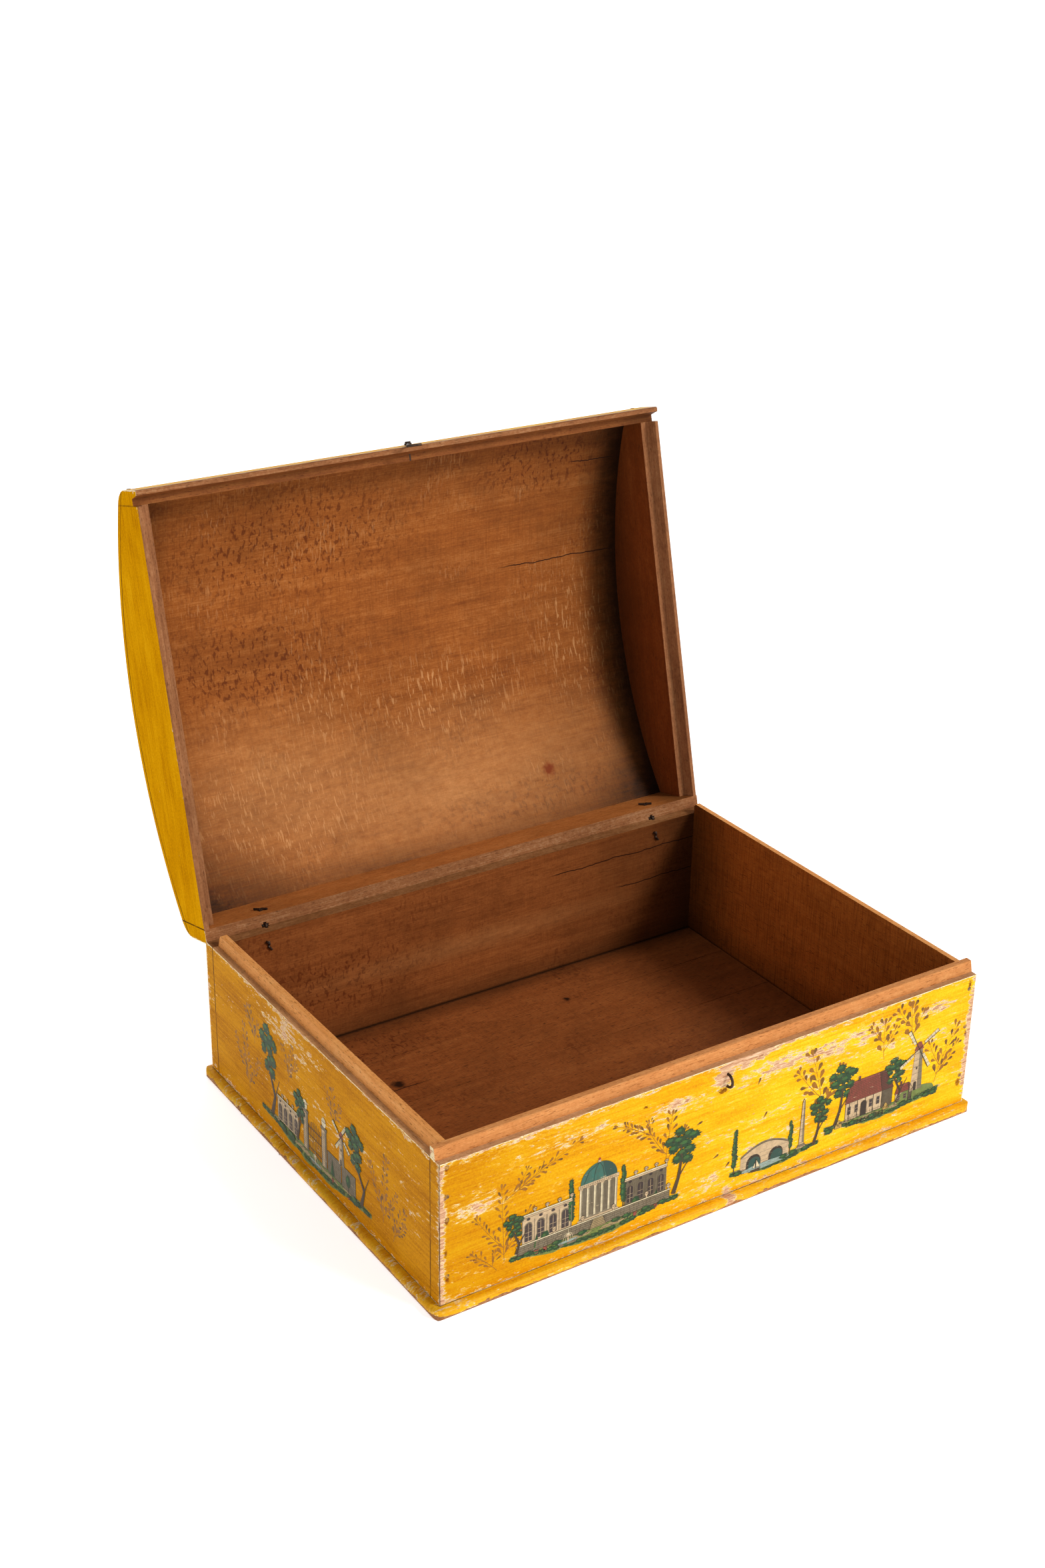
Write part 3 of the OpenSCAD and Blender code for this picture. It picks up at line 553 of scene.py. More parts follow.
def plank(tree, place):
    axes = add(tree, "SeparateXYZ", [place], slice(0, 3))
    # the floor: painted shade under the right wall and along the walls' feet
    floor = beech(tree, place, ("#7b4019", "#924f24", "#a6612f", "#45200c"), dashes=0.75,
                  cross=[((-0.12, 0.11, BASE_T), (0.09, 0.035, 1.0))], saw=0.15,
                  cracks=[(0, (-0.080, -0.095), 1, 0.058)],
                  knots=[((-0.105, 0.064, BASE_T), 0.0085, "#140804"),
                         ((0.052, 0.098, BASE_T), 0.004, "#1c0c04")],
                  corners=[(0, 0.19, 0.12, 0.25), (1, 0.138, 0.02, 0.5), (0, -0.19, 0.012, 0.3),
                           (1, 0.138, 0.0025, 0.7)])
    # the rim: painted shade towards the left, as on the front
    rim = coat(
        tree, place, {2: (-1.0, 1.0)}, wear=0.07, soil=0.4, pooled=0.0,
        spots=[((0.0047, -0.152, 0.006), (0.006, 1, 1), 0.4)], browned=(0, -HALF_W - 0.35, 0.04))
    worn = beech(tree, place, ("#74421f", "#a06c42", "#cf9f76", "#5b3319"), grime=0.4)
    jitter = marks(tree, place, (22, 22, 5), 4, 0.7)
    jitter = add(tree, "MapRange", {0: jitter, 3: -5.0 * MM, 4: 5.0 * MM})
    level = add(tree, "Math", [axes[2], jitter], operation="ADD")
    low = add(tree, "MapRange", [level, 3.3 * MM, 3.6 * MM, 1.0, 0.0])
    past = inset(tree, axes, {0: LENGTH, 1: DEPTH})
    past = add(tree, "MapRange", [past, -0.1 * MM, 0.1 * MM, 1.0, 0.0])
    return change_over(tree, past, floor, change_over(tree, low, rim, worn))


planks = finish("beech_plank_painted_rim", plank, bump=0.12, gloss=0.12)

# %% [markdown]
# A dark strip stands in each open joint between the planks as painted shade: one thin strip, a
# little below the boards and uneven along its top, so no light comes up through the floor.

# %% A dark strip in the joints: painted shade
def placed(name, data):
    thing = bpy.data.objects.new(name, data)
    bpy.context.collection.objects.link(thing)
    return thing


def made(name, points, faces, materials):
    mesh = bpy.data.meshes.new(name)
    mesh.from_pydata(points, [], faces)
    for material in materials:
        mesh.materials.append(material)
    return placed(name, mesh)


def joint_shade_strip(y, rng):
    points, faces, steps = [], [], 80
    for i in range(steps + 1):
        x = (2 * i / steps - 1) * (HALF_W + 4.6 * MM)
        half, low, top = 0.32 * MM, 0.3 * MM, rng.uniform(4.6, 5.8) * MM
        points += [(x, y - half, low), (x, y + half, low), (x, y + half, top), (x, y - half, top)]
        if i:
            a, b = 4 * i - 4, 4 * i
            faces += [(a + k, a + (k + 1) % 4, b + (k + 1) % 4, b + k) for k in range(4)]
    return points, faces + [(3, 2, 1, 0), tuple(4 * steps + k for k in range(4))]


# painted shade: dark strips in the joints, where no light comes through the floor
joint_shade = bare("painted_shade_in_plank_joints", ("#241206", "#341c0c", "#472a15", "#180a03"), grime=0.3)
for name, y in zip(("dust_joint_front", "dust_joint_back"), PLANK_JOINTS):
    strip = made(name, *joint_shade_strip(y, Random(name)), [joint_shade])
    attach(strip, "box")
    print(name, len(strip.data.polygons), "faces")

# %% [markdown]
# ## Iron
#
# Hinges, staple and hook are drawn iron wire. Bare iron browns as it ages: a dark skin of oxide,
# with a little rust in the hollows. The oxide keeps a dull metal gleam, so the wire stays
# metallic with a dark colour. The nails' heads were painted over and rusted through, so they
# have hardly any metal left in them.

# %% Wrought iron wire
def old_iron(name, dark, rusty, metallic):
    def recipe(tree, place):
        skin = marks(tree, place, (1.6, 1.6, 1.6), 4, 0.65)
        colour = add(tree, "ValToRGB", [skin], stops=[(0.4, dark), (0.68, rusty)])
        return colour, add(tree, "MapRange", [skin, 0.35, 0.65, 0.32, 0.62]), skin
    return finish(name, recipe, bump=0.08, gloss=0.5, strength=0.5, metallic=metallic)


iron = old_iron("wrought_iron_wire", "#3a332e", "#5b4030", 0.85)
nail_iron = old_iron("rusted_nail_iron", "#4a2a12", "#c08a28", 0.1)

# %% [markdown]
# ## Dressing the boards
#
# A board is one solid with several finishes: paint outside, a browned ledge, a pale lip, bare
# wood inside. Its mesh stays as the CAD made it. Only the slot of each face changes, chosen
# from the way that the face looks and where it lies, both taken on the shut chest.

# %% Choose a finish for every face
SQUARE = 0.9  # a face looks along an axis when its normal has this much of it


def dress(node, rule, lid=False):
    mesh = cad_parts[node].data
    mesh.materials.clear()
    slots = {}
    for face in mesh.polygons:
        centre, facing = face.center, face.normal
        if lid:
            centre, facing = shut_turn @ centre + shut_shift, shut_turn @ facing
        material = rule(centre, facing)
        if material.name not in slots:
            slots[material.name] = len(slots)
            mesh.materials.append(material)
        face.material_index = slots[material.name]
    print(node, len(mesh.polygons), "faces:", ", ".join(slots))


def on_the_end(c, n):
    return abs(c.x) > HALF_W - 0.05 * MM and abs(n.x) > SQUARE


def wall_rule(outside, inside, top, edge, face_axis, sign):
    face = HALF_D if face_axis else HALF_W

    def rule(c, n):
        if sign * n[face_axis] > SQUARE and sign * c[face_axis] > face - MM:
            return outside
        if on_the_end(c, n):
            return paint_side
        if n.z > SQUARE and c.z < JOINT + MM:
            return top
        return edge if c.z > JOINT - 0.1 * MM else inside
    return rule


for node, rule in {
        "front_board": wall_rule(paint_front, wall, ledge, lip, 1, -1),
        "back_board": wall_rule(paint_back, wall, ledge_back, ledge_back, 1, 1),
        "side_left": wall_rule(paint_side, wall_side, ledge_side, lip_side, 0, -1),
        "side_right": wall_rule(paint_side, wall_side, ledge_side, lip_side, 0, 1)}.items():
    dress(node, rule)
for node in ("floor_plank_front", "floor_plank_middle", "floor_plank_back"):
    dress(node, lambda c, n: under if n.z < -0.95 else planks)


# %% The lid's boards
def rail_rule(c, n):
    if abs(c.y) > HALF_D - 0.1 * MM and abs(n.y) > 0.97:
        return paint_lid_rail
    if on_the_end(c, n):
        return paint_lid_end
    if c.z < JOINT + 2 * MM or abs(c.y) > HALF_D - 1.3 * MM:
        return rail_lip
    return rail_front if c.y < 0 else rail


def end_rule(c, n):
    if on_the_end(c, n):
        return paint_lid_end
    return lid_lip if c.z < JOINT + 9 * MM else lid_end


def top_rule(c, n):
    if on_the_end(c, n):
        return paint_lid_end
    outwards = (c - Vector((c.x, *DOME_MIDDLE.yz))).normalized()
    return dome if outwards.dot(n) < -0.3 else paint_lid_top


for node, rule in {"lid_front_rail": rail_rule, "lid_back_rail": rail_rule, "lid_top": top_rule,
                   "lid_end_left": end_rule, "lid_end_right": end_rule}.items():
    dress(node, rule, lid=True)
for node in ("hinge_eye_box_left", "hinge_eye_box_right", "hinge_eye_lid_left",
             "hinge_eye_lid_right", "catch_eye", "hook_pin", "lid_hook"):
    dress(node, lambda c, n: iron)
for node in ("corner_nails_front", "corner_nails_back", "floor_nails", "lid_rail_nails",
             "lid_top_nails"):
    dress(node, lambda c, n: nail_iron)

# %% [markdown]
# ## Pasted prints
#
# Decorated boxes like this one were cheaply made rich: printed scenes were hand-coloured, cut
# out, pasted on the paint and varnished. The scenes here are general garden views, drawn from
# a few motifs. Each motif is a set of flat shapes in millimetres, with the ink it is coloured
# in and the layer it lies on. A layer is a twentieth of a millimetre, about one thick paper.

# %% Inks and the paper they are printed on
INKS = {
    "stone": "#c8ac86", "stone_shade": "#7c6f58", "teal": "#35665a", "teal_shade": "#244a43",
    "brick": "#8f4537", "brick_shade": "#5f322a", "leaf": "#1c4226", "leaf_light": "#38622f",
    "grass": "#6f7f3d", "earth": "#a48d62", "line": "#2f261f", "water": "#8fa39a",
    "pane": "#3b3032", "red": "#a23328", "cream": "#dacaa4", "bark": "#4a3826", "straw": "#c09a4e",
    "sprig": "#86520f", "sprig_dark": "#5a3a12"}


def printed(name, hex_colour, brushed):
    def recipe(tree, place):
        toned = marks(tree, place, (3, 3, 3), 4, 0.65)
        amount = add(tree, "MapRange", [toned, 0.35, 0.7, 0.0, 0.4])
        colour = blend(tree, amount, linear(hex_colour), "#b9801c" if brushed else "#4a3c28")
        scuff = scattered(tree, place, (9, 9, 1.2), 5, 0.7, 0.66, 0.7, 0.8)
        colour = blend(tree, scuff, colour, "#eeb01c" if brushed else "#d9c098")
        dull = add(tree, "MapRange", {0: toned, 3: 0.4, 4: 0.6})
        return colour, dull, toned
    return finish(name, recipe, bump=0.05)


ink_materials = {
    ink: printed("print_" + ink, colour, ink.startswith("sprig")) for ink, colour in INKS.items()}

# %% [markdown]
# The drawing tools: a shape, a stroke of the pen with width, and a blob with a wobbling
# outline for leaves and bushes. A seeded random source makes the same wobble in every run.
# From these come what buildings are made of: an outline that is the same left and right, as if
# it had been turned on a lathe, a block, an arch, bars and posts, and the pen's hatching.

# %% Pen and scissors
def shape(sheet, ink, layer, points, pen=0.0):
    sides = list(zip(points, points[1:] + points[:1]))
    area = sum(a[0] * b[1] - b[0] * a[1] for a, b in sides)
    sheet.append((ink, layer, points if area > 0 else points[::-1]))
    if pen:
        for side in sides:
            stroke(sheet, "line", layer + 1, side, pen)


def stroke(sheet, ink, layer, path, width, tip=None):
    tip = width if tip is None else tip
    left, right = [], []
    for i, (x, y) in enumerate(path):
        (ax, ay), (bx, by) = path[max(i - 1, 0)], path[min(i + 1, len(path) - 1)]
        run = max(sqrt((bx - ax) ** 2 + (by - ay) ** 2), 1e-6)
        half = (width + (tip - width) * i / (len(path) - 1)) / 2
        left.append((x - half * (by - ay) / run, y + half * (bx - ax) / run))
        right.append((x + half * (by - ay) / run, y - half * (bx - ax) / run))
    shape(sheet, ink, layer, left + right[::-1])


def blob(sheet, ink, layer, x, y, rx, ry, rng, points, rough, notch=1.0):
    turn, ring = rng.uniform(0, pi), []
    for i in range(points):
        a = turn + 2 * pi * i / points
        r = (1.0 if i % 2 else notch) * (1 + rng.uniform(-rough, rough))
        ring.append((x + rx * r * cos(a), y + ry * r * sin(a)))
    shape(sheet, ink, layer, ring)


# %% Outlines of turned and built things
def turned(sheet, ink, layer, x, y, profile, pen=0.0):
    # the right half of the outline is given, from its foot on
    right = [(x + a, y + b) for a, b in profile]
    left = [(x - a, y + b) for a, b in profile if a]
    shape(sheet, ink, layer, left[:1] + right + left[:0:-1], pen)


def block(sheet, ink, layer, x, y, half, h, pen=0.0):
    turned(sheet, ink, layer, x, y, [(half, 0), (half, h)], pen)


def arch(sheet, ink, layer, x, y, w, h):
    ring = [(x - w / 2, y), (x + w / 2, y)]
    ring += [(x + w / 2 * cos(pi * i / 10), y + h - w / 2 + w / 2 * sin(pi * i / 10))
             for i in range(11)]
    shape(sheet, ink, layer, ring)


def bar(sheet, ink, layer, x, y, half, width):
    stroke(sheet, ink, layer, [(x - half, y), (x + half, y)], width)


def post(sheet, ink, layer, x, y, h, width):
    stroke(sheet, ink, layer, [(x, y), (x, y + h)], width)


def hatch(sheet, layer, x, y, w, h, step, width):
    for i in range(int(w / step)):
        post(sheet, "line", layer, x + step * (i + 0.5), y, h, width)


COURSE, STONE, THREAD = 1.5, 3.2, 0.16  # height of a course, length of a stone, finest line


def masonry(sheet, layer, x, y, w, h, rng):
    # courses of stone: long joints, and short ones that break from course to course
    for row in range(int(h / COURSE)):
        level = y + COURSE * row
        stroke(sheet, "line", layer, [(x, level), (x + w, level)], THREAD)
        for i in range(int(w / STONE)):
            cx = x + STONE * i + rng.uniform(0.6, 2.6)
            post(sheet, "line", layer, cx, level, COURSE, THREAD)


# %% [markdown]
# Trees are a trunk and clumps of leaves, each dark with a light patch on top, and short pen
# strokes below. A clipped tree stands on a stem in a pot and is a cone or a ball.

# %% Trees and bushes
def leafy(sheet, ink, layer, x, y, rx, ry, rng):
    # a clump with a jagged edge: every other point of its outline is drawn in
    blob(sheet, ink, layer, x, y, rx, ry, rng, 22, 0.16, 0.74)


def tree_print(sheet, x, y, h, spread, rng, layer=2):
    # clumps of foliage lie to one side and the other of a bent trunk
    lean = rng.uniform(-0.12, 0.12) * h
    trunk = [(x, y), (x + 0.07 * h, y + 0.22 * h), (x + lean, y + 0.5 * h),
             (x + 0.7 * lean, y + 0.8 * h)]
    stroke(sheet, "bark", layer, trunk, 0.06 * h + 0.4, 0.6)
    stroke(sheet, "bark", layer, [trunk[1], (x + 0.07 * h + 0.3 * spread, y + 0.45 * h)], 1.0, 0.4)
    stroke(sheet, "line", layer + 1, [(a + 0.3, b) for a, b in trunk[:3]], 0.3, 0.2)
    for i in range(11):
        turn, out = 2.4 * i, sqrt((i + 0.6) / 11)
        cx = x + lean + 0.42 * spread * out * cos(turn) + rng.uniform(-0.05, 0.05) * spread
        cy = y + 0.7 * h + 0.27 * h * out * sin(turn)
        reach = spread * rng.uniform(0.15, 0.24)
        leafy(sheet, "leaf", layer + (i % 2), cx, cy, reach, 0.075 * h, rng)
        leafy(sheet, "leaf_light", layer + 2, cx - 0.2 * reach, cy + 0.025 * h, 0.55 * reach,
              0.03 * h, rng)
        for _ in range(3):
            px, py = cx + rng.uniform(-0.8, 0.6) * reach, cy - rng.uniform(0.0, 0.06) * h
            stroke(sheet, "line", layer + 3, [(px, py), (px + 1.5, py - 0.4)], 0.3, 0.1)


def poplar(sheet, x, y, h, rng, layer=2):
    stroke(sheet, "bark", layer, [(x, y), (x, y + 0.3 * h)], 0.9, 0.6)
    for i in range(6):
        cy, width = y + h * (0.22 + 0.135 * i), h * (0.085 - 0.008 * abs(i - 1.5))
        leafy(sheet, "leaf", layer, x + rng.uniform(-0.5, 0.5), cy, width, 0.12 * h, rng)
        leafy(sheet, "leaf_light", layer + 1, x - 0.35 * width, cy + 0.02 * h, 0.4 * width,
              0.06 * h, rng)


def clipped_tree(sheet, x, y, h, rng, cone=True):
    turned(sheet, "brick", 3, x, y, [(1.5, 2.6), (1.0, 0)])
    post(sheet, "line", 3, x, y + 2.6, 0.5 * h - 2.6, 0.6)
    if cone:
        turned(sheet, "leaf", 3, x, y, [(2.6, 0.3 * h), (0, h)])
        shape(
            sheet, "leaf_light", 4,
            [(x - 2.0, y + 0.34 * h), (x - 0.7, y + 0.34 * h), (x - 0.2, y + h - 1.2)])
    else:
        blob(sheet, "leaf", 3, x, y + 0.72 * h, 2.9, 0.27 * h, rng, 14, 0.1)
        blob(sheet, "leaf_light", 4, x - 0.9, y + 0.78 * h, 1.1, 0.11 * h, rng, 9, 0.2)


def bushes(sheet, layer, places, y, half_w, half_h, lift, light_h, rng):
    # each has a light patch half as wide, so much higher up
    for x in places:
        leafy(sheet, "leaf", layer, x, y, half_w, half_h, rng)
        leafy(sheet, "leaf_light", layer + 1, x - 1, y + lift, half_w / 2, light_h, rng)


# %% [markdown]
# Every scene stands on a strip of ground: a mound whose lower edge is cut in soft waves, with
# a pale path, bushes along its foot and short hatching, as an engraver shades a slope.

# %% Ground
def ground(sheet, x0, x1, y, depth, rng):
    n, span = 20, x1 - x0

    def below(x):
        return depth * sin(pi * min(max((x - x0) / span, 0.1), 0.9))

    top = [(x0 + span * i / n, y + rng.uniform(-0.4, 0.8)) for i in range(n + 1)]
    low = [(x0 + span * i / n, y - below(x0 + span * i / n) - rng.uniform(0, 0.3 * depth))
           for i in range(n, -1, -1)]
    shape(sheet, "grass", 0, top + low)
    for i in range(4):
        cx = x0 + span * (i + 0.5) / 4 + rng.uniform(-4, 4)
        blob(sheet, "earth", 1, cx, y - 0.45 * below(cx), span / 12, 0.16 * depth, rng, 14, 0.3)
    for i in range(int(span / 5)):
        cx = x0 + 3 + 5 * i + rng.uniform(-1.5, 1.5)
        leafy(sheet, "leaf", 2, cx, y - 0.85 * below(cx), 3.2, 0.16 * depth + 0.6, rng)
        leafy(sheet, "leaf_light", 3, cx - 0.5, y - 0.78 * below(cx), 1.6, 0.1 * depth, rng)
    for i in range(int(span / 0.7)):
        cx = x0 + 0.7 * i + rng.uniform(0.3, 0.9)
        cy = y - rng.uniform(0.05, 0.95) * below(cx)
        stroke(sheet, "line", 4, [(cx, cy), (cx + rng.uniform(1.0, 2.4), cy + 0.3)], 0.26, 0.1)


# %% [markdown]
# Buildings: a cottage with a tiled roof, a barn, which is a long cottage with a door, and an
# orangery with tall arched windows. They are made to one scale, and close upright hatching
# turns a wall away from the light.

# %% Cottage and barn
def window(sheet, layer, x, y, w, h):
    block(sheet, "stone_shade", layer, x, y - 0.3, w / 2 + 0.3, h + 0.7)
    block(sheet, "pane", layer + 1, x, y, w / 2, h)
    bar(sheet, "stone", layer + 2, x, y + 0.55 * h, w / 2, 0.18)


def cottage(sheet, x, y, w, h, roof_h, bays, flank):
    end, eave, ridge, hip = x + w, y + h, y + h + roof_h, 0.2 * roof_h
    block(sheet, "stone", 1, x + w / 2, y, w / 2, h, 0.3)
    block(sheet, "stone_shade", 1, end + flank / 2, y, flank / 2, h, 0.3)
    hatch(sheet, 3, end, y + 0.3, flank, h - 0.6, 0.6, 0.2)
    shape(
        sheet, "brick", 2, [(x - 0.8, eave), (end, eave), (end - hip, ridge), (x + hip, ridge)],
        0.3)
    shape(sheet, "brick_shade", 2, [(end, eave), (end + flank + 0.8, eave),
                                    (end + flank - 0.5 * roof_h, ridge), (end - hip, ridge)], 0.3)
    for row in range(1, int(roof_h / 1.3)):
        level = eave + 1.3 * row
        stroke(sheet, "line", 4, [(x - 0.8 + 0.25 * row, level), (end + 0.6 * flank, level)], 0.18)
    hatch(sheet, 4, x, eave + 0.4, w, roof_h - 0.8, 1.4, 0.12)
    for bay in range(bays):
        window(sheet, 3, x + w * (bay + 0.5) / bays, y + 0.35 * h, min(2.2, 0.4 * w / bays),
               0.4 * h)
    masonry(sheet, 3, x, y, w, 0.3 * h, Random(int(10 * x + 3000)))
    block(sheet, "brick_shade", 5, x + 0.3 * w + 0.8, ridge - 0.8, 0.8, 3.4, 0.2)


def barn(sheet, x, y, w, h, roof_h):
    cottage(sheet, x, y, w, h, roof_h, 5, 0.3 * w)
    arch(sheet, "line", 6, x + 0.5 * w, y, 0.16 * w, 0.85 * h)
    for i in range(4):
        post(sheet, "line", 5, x + 0.1 * w + 0.22 * w * i, y, h, 0.4)


# %% Things about the farm and the garden
def haystack(sheet, x, y, w, rng):
    turned(sheet, "straw", 3, x, y, [(w / 2, 0), (0.42 * w, 0.5 * w), (0.1 * w, 0.95 * w)], 0.2)
    for _ in range(12):
        px, py = x + rng.uniform(-0.35, 0.35) * w, y + rng.uniform(0.05, 0.6) * w
        stroke(sheet, "line", 5, [(px, py), (px + 0.3, py + 1.4)], 0.22, 0.1)


def fence(sheet, x0, x1, y):
    for i in range(int((x1 - x0) / 3) + 1):
        post(sheet, "line", 6, x0 + 3 * i, y, 3.4, 0.45)
    for level in (1.2, 2.6):
        stroke(sheet, "line", 6, [(x0, y + level), (x1, y + level)], 0.3)


def obelisk(sheet, x, y, h):
    for row in range(3):
        block(sheet, "stone_shade" if row % 2 else "stone", 2, x, y + 1.4 * row, 4 - row, 1.4, 0.2)
    foot, tall = y + 4.2, h - 4.2
    turned(sheet, "stone", 3, x, foot, [(2, 0), (1, tall)], 0.25)
    shape(
        sheet, "stone_shade", 4, [(x + 0.4, foot), (x + 2, foot), (x + 1, y + h), (x + 0.3, y + h)])
    turned(sheet, "stone", 4, x, y + h, [(1, 0), (0, 2.4)], 0.25)
    for row in range(1, 6):
        bar(sheet, "line", 5, x, foot + tall * row / 6, 1.6, THREAD)


def urn(sheet, x, y, h=4.4):
    turned(
        sheet, "stone", 5, x, y,
        [(0.9, 0), (0.3, 0.2 * h), (1.5, 0.55 * h), (1.3, 0.8 * h), (0, h)], 0.2)
    bar(sheet, "line", 7, x, y + 0.62 * h, 1.3, 0.25)


def fountain(sheet, x, y, w):
    turned(sheet, "stone_shade", 3, x, y, [(w / 2, 2.4), (0.4 * w, 0)])
    blob(sheet, "water", 4, x, y + 2.4, w / 2, 0.8, Random(5), 14, 0.03)
    block(sheet, "stone", 5, x, y + 2.4, 0.6, 4)
    blob(sheet, "stone", 5, x, y + 6.4, 2.1, 0.6, Random(6), 12, 0.03)
    for k in (-1, -0.5, 0.5, 1):
        jet = [(x + k * 3.4 * t, y + 6.6 + 7 * t * (1.15 - 1.5 * t))
               for t in (0, 0.3, 0.6, 0.9, 1.1)]
        stroke(sheet, "cream", 6, jet, 0.35, 0.2)
    stroke(sheet, "cream", 6, [(x, y + 6.6), (x, y + 11.5)], 0.5, 0.2)


# %% [markdown]
# The middle of the largest scene is a garden pavilion: steps, six columns, an entablature and a
# copper dome with a ball on it. An orangery stands on either side.

# %% Orangery and pavilion
def orangery(sheet, x, y, w, h, bays, wall="stone"):
    middle, pitch = x + w / 2, w / bays
    block(sheet, wall, 1, middle, y, w / 2, h, 0.3)
    for bay in range(bays):
        cx = x + pitch * (bay + 0.5)
        arch(sheet, "stone_shade", 2, cx, y + 1, 0.66 * pitch, 0.7 * h)
        arch(sheet, "pane", 3, cx, y + 1, 0.54 * pitch, 0.65 * h)
        post(sheet, "stone", 4, cx, y + 1, 0.68 * h - 1, 0.25)
        for level in (0.22, 0.38):
            bar(sheet, "stone", 4, cx, y + level * h, 0.26 * pitch, 0.22)
        post(sheet, "stone_shade", 3, cx + pitch / 2, y, 0.8 * h, 0.5)
        blob(sheet, "pane", 3, cx, y + 0.86 * h, 0.16 * pitch, 0.05 * h, Random(7), 12, 0.05)
        urn(sheet, cx + pitch / 2, y + h + 1.2, 3.2)
    if wall == "stone_shade":
        hatch(sheet, 4, x, y + 0.3, w, h - 0.6, 0.9, 0.18)
    block(sheet, "stone", 5, middle, y + 0.93 * h, w / 2 + 0.6, 0.07 * h, 0.2)
    block(sheet, "cream", 5, middle, y + h, w / 2 + 0.3, 1.2, 0.2)


def pavilion(sheet, x, y, w, h):
    for step in range(3):
        block(sheet, "stone" if step % 2 else "stone_shade", 1, x, y + 1.1 * step,
              w / 2 + 2 - step, 1.1)
    foot, head = y + 3.3, y + 3.3 + h
    block(sheet, "stone_shade", 2, x, foot, w / 2 - 0.5, h)
    hatch(sheet, 3, x - w / 2 + 1, foot + 0.5, w - 2, h - 1, 1.0, 0.3)
    for i in range(6):
        cx = x - w / 2 + 1 + (w - 2) * i / 5
        block(sheet, "cream", 4, cx, foot, 0.85, h)
        post(sheet, "stone_shade", 5, cx + 0.5, foot, h, 0.45)
        block(sheet, "stone", 5, cx, head - 0.9, 1.2, 0.9)
    block(sheet, "stone", 4, x, head, w / 2 + 0.8, 2.4)
    bar(sheet, "line", 5, x, head, w / 2 + 0.8, 0.3)
    hatch(sheet, 5, x - w / 2, head + 0.7, w, 1.1, 1.3, 0.3)
    top, half = head + 2.4, w / 2 - 0.5
    curve = [(x + half * cos(pi * i / 16), top + 0.95 * half * sin(pi * i / 16)) for i in range(17)]
    shape(sheet, "teal", 4, curve)
    shape(
        sheet, "teal_shade", 5,
        curve[:8] + [(x + 0.3 * half, top + 0.4 * half), (x + 0.42 * half, top)])
    for k in (-0.55, -0.2, 0.2):
        stroke(sheet, "line", 6, [(x + k * half * 1.5, top), (x + k * half, top + 0.62 * half),
                                  (x, top + 0.94 * half)], 0.25)
    block(sheet, "stone", 5, x, top + 0.93 * half, 1, 1.6)
    blob(sheet, "red", 5, x, top + 0.93 * half + 2.4, 0.8, 0.8, Random(3), 10, 0.0)


# %% [markdown]
# The countryside has a windmill, whose four sails are one drawing turned by quarters, and a
# bridge of two arches with a sailing boat below.

# %% Windmill, bridge and boat
def windmill(sheet, x, y, h, turn):
    w = 0.34 * h

    def sail(k, out, aside):
        # a point on sail k: a share of the way out, and so far to its side
        a, out = turn + pi / 2 * k, 0.62 * h * out
        return (x + out * cos(a) - aside * sin(a), y + 1.02 * h + out * sin(a) + aside * cos(a))

    turned(sheet, "stone", 2, x, y, [(w / 2, 0), (0.3 * w, h)])
    shape(
        sheet, "stone_shade", 3,
        [(x + 0.1 * w, y), (x + w / 2, y), (x + 0.3 * w, y + h), (x + 0.08 * w, y + h)])
    for row in range(6):
        level = y + h * (row + 0.5) / 6
        stroke(sheet, "line", 4, [(x - 0.4 * w, level), (x + 0.4 * w, level + 0.2)], THREAD)
    turned(sheet, "brick", 4, x, y, [(0.4 * w, h), (0.12 * w, 1.2 * h)])
    arch(sheet, "line", 4, x - 0.1 * w, y, 0.24 * w, 0.22 * h)
    block(sheet, "line", 4, x - 0.12 * w + 0.6, y + 0.52 * h, 0.6, 1.7)
    for k in range(4):
        stroke(sheet, "line", 6, [sail(k, 0, 0), sail(k, 1, 0)], 0.5)
        shape(
            sheet, "cream", 5,
            [sail(k, 0.3, 0.1), sail(k, 0.98, 0.1), sail(k, 0.98, 2.5), sail(k, 0.3, 2.0)])
        for out in (0.3, 0.47, 0.64, 0.81, 0.98):
            stroke(sheet, "line", 6, [sail(k, out, 0), sail(k, out, 2.3)], 0.22)


def bridge(sheet, x, y, w, h):
    deck = [(x + w * i / 12, y + h * (0.62 + 0.38 * sin(pi * i / 12))) for i in range(13)]
    shape(sheet, "stone", 2, [(x, y), (x + w, y)] + deck[::-1])
    shape(sheet, "stone_shade", 3, deck + [(px, py + 1.2) for px, py in deck[::-1]])
    stroke(sheet, "line", 4, deck, 0.3)
    for k in (0.27, 0.73):
        arch(sheet, "line", 3, x + k * w, y, 0.3 * w, 0.62 * h)
        arch(sheet, "teal_shade", 4, x + k * w + 0.6, y, 0.24 * w, 0.5 * h)
    for row in range(1, 4):
        bar(sheet, "stone_shade", 3, x + w / 2, y + h * row / 5, w / 2 - 1, 0.2)


def boat(sheet, x, y):
    turned(sheet, "bark", 6, x, y, [(4, 1.6), (2.8, 0)], 0.2)
    post(sheet, "line", 6, x, y + 1.6, 7.4, 0.35)
    shape(sheet, "cream", 6, [(x + 0.4, y + 2.4), (x + 3.6, y + 2.6), (x + 0.4, y + 8.6)], 0.2)
    shape(sheet, "cream", 6, [(x - 0.4, y + 2.8), (x - 2.4, y + 2.8), (x - 0.4, y + 7)], 0.2)


# %% [markdown]
# Leaf sprigs are old brush practice: one curved stem, twigs to each side, and a leaf from a
# single press of the brush, so it starts as a point and ends round. They are painted straight
# on the yellow, below the prints.

# %% Leaf sprigs
SPRIG_LAYER = -0.95  # just over the paint, and under every print


